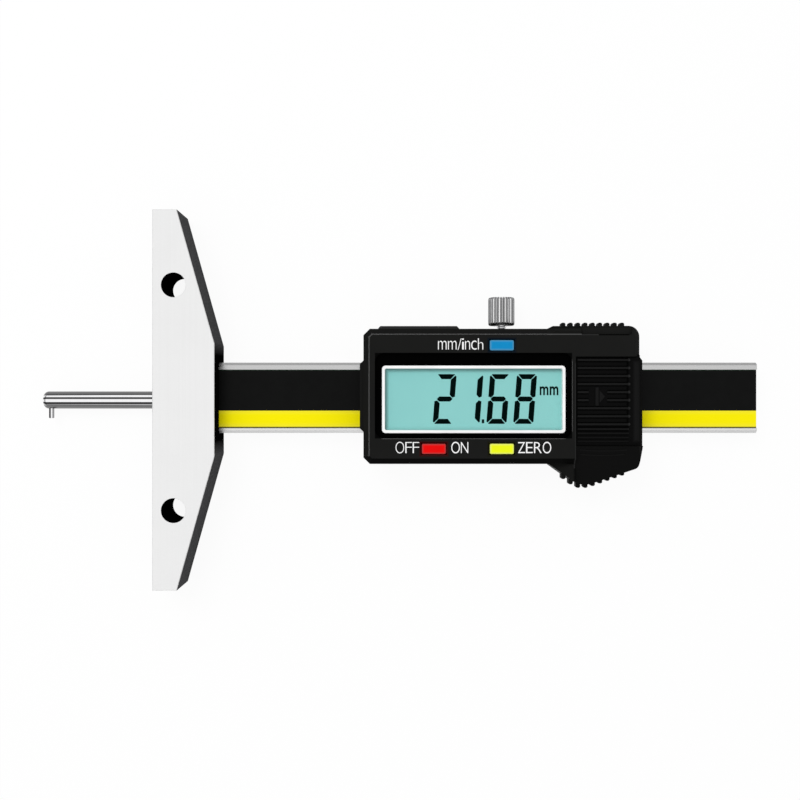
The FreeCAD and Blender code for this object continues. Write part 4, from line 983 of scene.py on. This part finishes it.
inkThick = 0.02
surfaces = {
    # height, ink and slot of what the words are printed on
    "panel": (15.0, "panel_ink", "housing_plastic"),
    "glass": (13.0, "display_ink", "display_glass"),
}
words = {
    # surface, how far the strokes are swollen in the font's own units, lower and upper edge, and each
    # letter's left and right edge, with its own lower and upper edge where they differ
    "mm_inch": ("panel", -0.013, (11.03, 12.94),
                [("m", 63.20, 65.08), ("m", 65.38, 67.26), ("/", 67.50, 68.34, 10.95, 13.45),
                 ("i", 68.42, 68.88, 11.03, 13.45), ("n", 69.10, 70.21), ("c", 70.46, 71.65, 10.99, 12.98),
                 ("h", 71.92, 73.09, 11.03, 13.48)]),
    "off": ("panel", -0.019, (-11.6, -9.19),
            [("O", 53.94, 55.80, -11.66, -9.12), ("F", 56.06, 57.50), ("F", 57.67, 59.09)]),
    "on": ("panel", -0.010, (-11.6, -9.19), [("O", 66.10, 67.98, -11.66, -9.12), ("N", 68.20, 69.81)]),
    "zero": ("panel", -0.009, (-11.6, -9.19),
             [("Z", 80.65, 82.26), ("E", 82.42, 83.90), ("R", 84.17, 85.87),
              ("O", 86.08, 87.93, -11.66, -9.12)]),
    "unit": ("glass", 0.022, (1.06, 3.02), [("m", 85.70, 87.61), ("m", 87.90, 89.81)]),
}


def addLetter(bm, letter, bold, low, high):
    # the letter's flat shape, fitted between two corners
    curve = bpy.data.curves.new("letter", "FONT")
    curve.body = letter
    curve.offset = bold
    curve.resolution_u = 6
    holder = addObject("letter", curve)
    bpy.context.view_layer.update()
    mesh = bpy.data.meshes.new_from_object(holder.evaluated_get(bpy.context.evaluated_depsgraph_get()))
    before = set(bm.verts)
    bm.from_mesh(mesh)
    bpy.data.objects.remove(holder)
    bpy.data.curves.remove(curve)
    bpy.data.meshes.remove(mesh)
    ops.remove_doubles(bm, verts=[vert for vert in bm.verts if vert not in before], dist=1e-4)
    fresh = [vert for vert in bm.verts if vert not in before]
    start = Vector([min(vert.co[axis] for vert in fresh) for axis in range(3)])
    end = Vector([max(vert.co[axis] for vert in fresh) for axis in range(3)])
    size = ((high.x - low.x) / (end.x - start.x), (high.y - low.y) / (end.y - start.y), 1, 1)
    fit = Matrix.Translation(low) @ Matrix.Diagonal(size) @ Matrix.Translation(-start)
    ops.transform(bm, matrix=fit, verts=fresh)


def makeWords():
    for name, (ground, bold, edges, letters) in words.items():
        top, ink, slot = surfaces[ground]
        bm = bmesh.new()
        for letter, left, right, *own in letters:
            low, high = own or edges
            addLetter(bm, letter, bold, at(left, low, top), at(right, high, top))
        drawOut(bm, bm.faces[:], at(0, 0, inkThick))
        newPiece("word_" + name, bm, ink, "slider")


reading = {
    "digits": "2168",
    "right": 85.13,     # right edge of the last digit, at its top
    "bottom": -5.26, "tall": 10.96, "wide": 4.46, "pitch": 5.91, "thick": 0.015,
    "lean": math.tan(math.radians(4.4)),
    "dot": (72.93, -5.12, 73.47, -4.26),
    "lit": {"2": "abged", "1": "bc", "6": "afgedc", "8": "abcdefg"},
}
segments = {
    # corners from the digit's lower left corner: the upper, the middle and the upper left segment
    "a": [(0.38, 10.84), (0.50, 10.96), (3.96, 10.96), (4.08, 10.84), (3.24, 9.86), (1.22, 9.86)],
    "g": [(0.50, 5.48), (1.0, 6.03), (3.46, 6.03), (3.96, 5.48), (3.46, 4.93), (1.0, 4.93)],
    "f": [(0, 10.46), (0.25, 10.66), (1.20, 9.71), (1.20, 6.43), (0.60, 5.78), (0, 6.0)],
}
mirrored = {
    # segments that are another one's mirror image: the other one, left to right, upside down
    "b": ("f", True, False), "c": ("f", True, True), "d": ("a", False, True), "e": ("f", False, True),
}


def makeReading():
    bm = bmesh.new()
    top, ink, slot = surfaces["glass"]
    left = reading["right"] - reading["wide"] - (len(reading["digits"]) - 1) * reading["pitch"]
    for digit in reading["digits"]:
        for letter in reading["lit"][digit]:
            like, across, over = mirrored.get(letter, (letter, False, False))
            corners = []
            for x, y in segments[like]:
                x = reading["wide"] - x if across else x
                y = reading["tall"] - y if over else y
                shear = (y - reading["tall"]) * reading["lean"]
                corners.append(at(left + x + shear, reading["bottom"] + y, top))
            prism(bm, corners, at(0, 0, reading["thick"]))
        left += reading["pitch"]
    x, y, endX, endY = reading["dot"]
    addBox(bm, at(x, y, top), at(endX, endY, top + reading["thick"]))
    newPiece("reading_digits", bm, ink, "slider")


stage = {
    "floorSize": 1.6, "floorDrop": 0.2, "floorColour": grey(0.96),
    "glow": 0.93,     # how much of the floor that is seen shines by itself
    "diffuseLevel": 0.74,     # the sky's light on the object
    "keyEnergy": 1.0, "keyPlace": (-0.12, 0.22, 0.5), "keySize": 0.3, "keyAim": (0.055, 0, 0),
}


def rayShare(*kinds):
    # 1 for these kinds of ray
    path = addNode("LightPath").outputs
    share = 0.0
    for kind in kinds:
        share = calculate("MAXIMUM", share, path[f"Is {kind} Ray"])
    return share


def makeFloor():
    half = stage["floorSize"] / 2
    z = cadLow.z - stage["floorDrop"] * mm
    corners = [(-half, -half, z), (half, -half, z), (half, half, z), (-half, half, z)]
    mesh = bpy.data.meshes.new("floor")
    mesh.from_pydata(corners, [], [(0, 1, 2, 3)])
    floor = addObject("floor", mesh)
    material = bpy.data.materials.new("floor_white")
    startTree(material).clear()
    share = times(rayShare("Camera", "Glossy", "Transmission"), stage["glow"])
    matt = addNode("BsdfDiffuse", {"Color": stage["floorColour"]}).outputs["BSDF"]
    glow = addNode("Emission", {"Color": grey(1.0), "Strength": 1.0}).outputs["Emission"]
    mix = addNode("MixShader", {0: share, 1: matt, 2: glow}).outputs["Shader"]
    addNode("OutputMaterial", {"Surface": mix})
    mesh.materials.append(material)


studio = {
    # brightness of the sky in reflections, by degrees from overhead towards Y and towards X
    "Y": [(-180, 0.95), (-84, 0.95), (-78, 0.8), (-55, 0.8), (-45, 1.0), (60, 1.0), (70, 0.9), (180, 0.9)],
    "X": [(-180, 0.7), (-76, 0.7), (-70, 0.35), (-46, 0.35), (-40, 1.0), (27, 1.0), (31, 0.4),
          (44, 0.4), (47, 1.0), (62, 1.0), (68, 0.5), (180, 0.5)],
}


def makeWorld():
    world = bpy.data.worlds.new("studio")
    bpy.context.scene.world = world
    startTree(world).clear()
    way = xyz(addNode("TexCoord").outputs["Generated"])
    panels = [addRamp(calculate("ARCTAN2", way[axis], way["Z"]), stops) for axis, stops in studio.items()]
    both = mixColours(1.0, *panels, "MULTIPLY")
    tone = mixColours(rayShare("Glossy", "Transmission"), grey(stage["diffuseLevel"]), both)
    tone = mixColours(rayShare("Camera"), tone, grey(1.0))
    sky = addNode("Background", {"Color": tone, "Strength": 1.0}).outputs["Background"]
    addNode("OutputWorld", {"Surface": sky})


def makeKey():
    lamp = bpy.data.lights.new("key", "AREA")
    lamp.shape = "DISK"
    lamp.size = stage["keySize"]
    lamp.energy = stage["keyEnergy"]
    key = addObject("key", lamp)
    key.visible_glossy = False     # the studio's bands give every reflection
    key.location = stage["keyPlace"]
    aim = Vector(stage["keyAim"]) - key.location
    key.rotation_euler = aim.to_track_quat("-Z", "Y").to_euler()


camera = {"place": (0.0549, 0.0, 0.233), "lens": 44.91, "sensor": 36.0, "clip": (0.01, 10.0)}


def makeCamera():
    eye = bpy.data.cameras.new("camera")
    eye.lens = camera["lens"]
    eye.sensor_width = camera["sensor"]
    eye.clip_start, eye.clip_end = camera["clip"]
    stand = addObject("camera", eye)
    stand.location = camera["place"]     # straight above, looking down
    bpy.context.scene.camera = stand


for make in (makeRod, makePin, makeLockScrew, makeButtons, makeBatteryCover, makeThumbRest, makePortCover,
             makeBezel, makeScrews, makeWords, makeReading, makeFloor, makeWorld, makeKey, makeCamera):
    make()
    print(make.__name__, "done")
bpy.context.scene.view_settings.view_transform = "Standard"
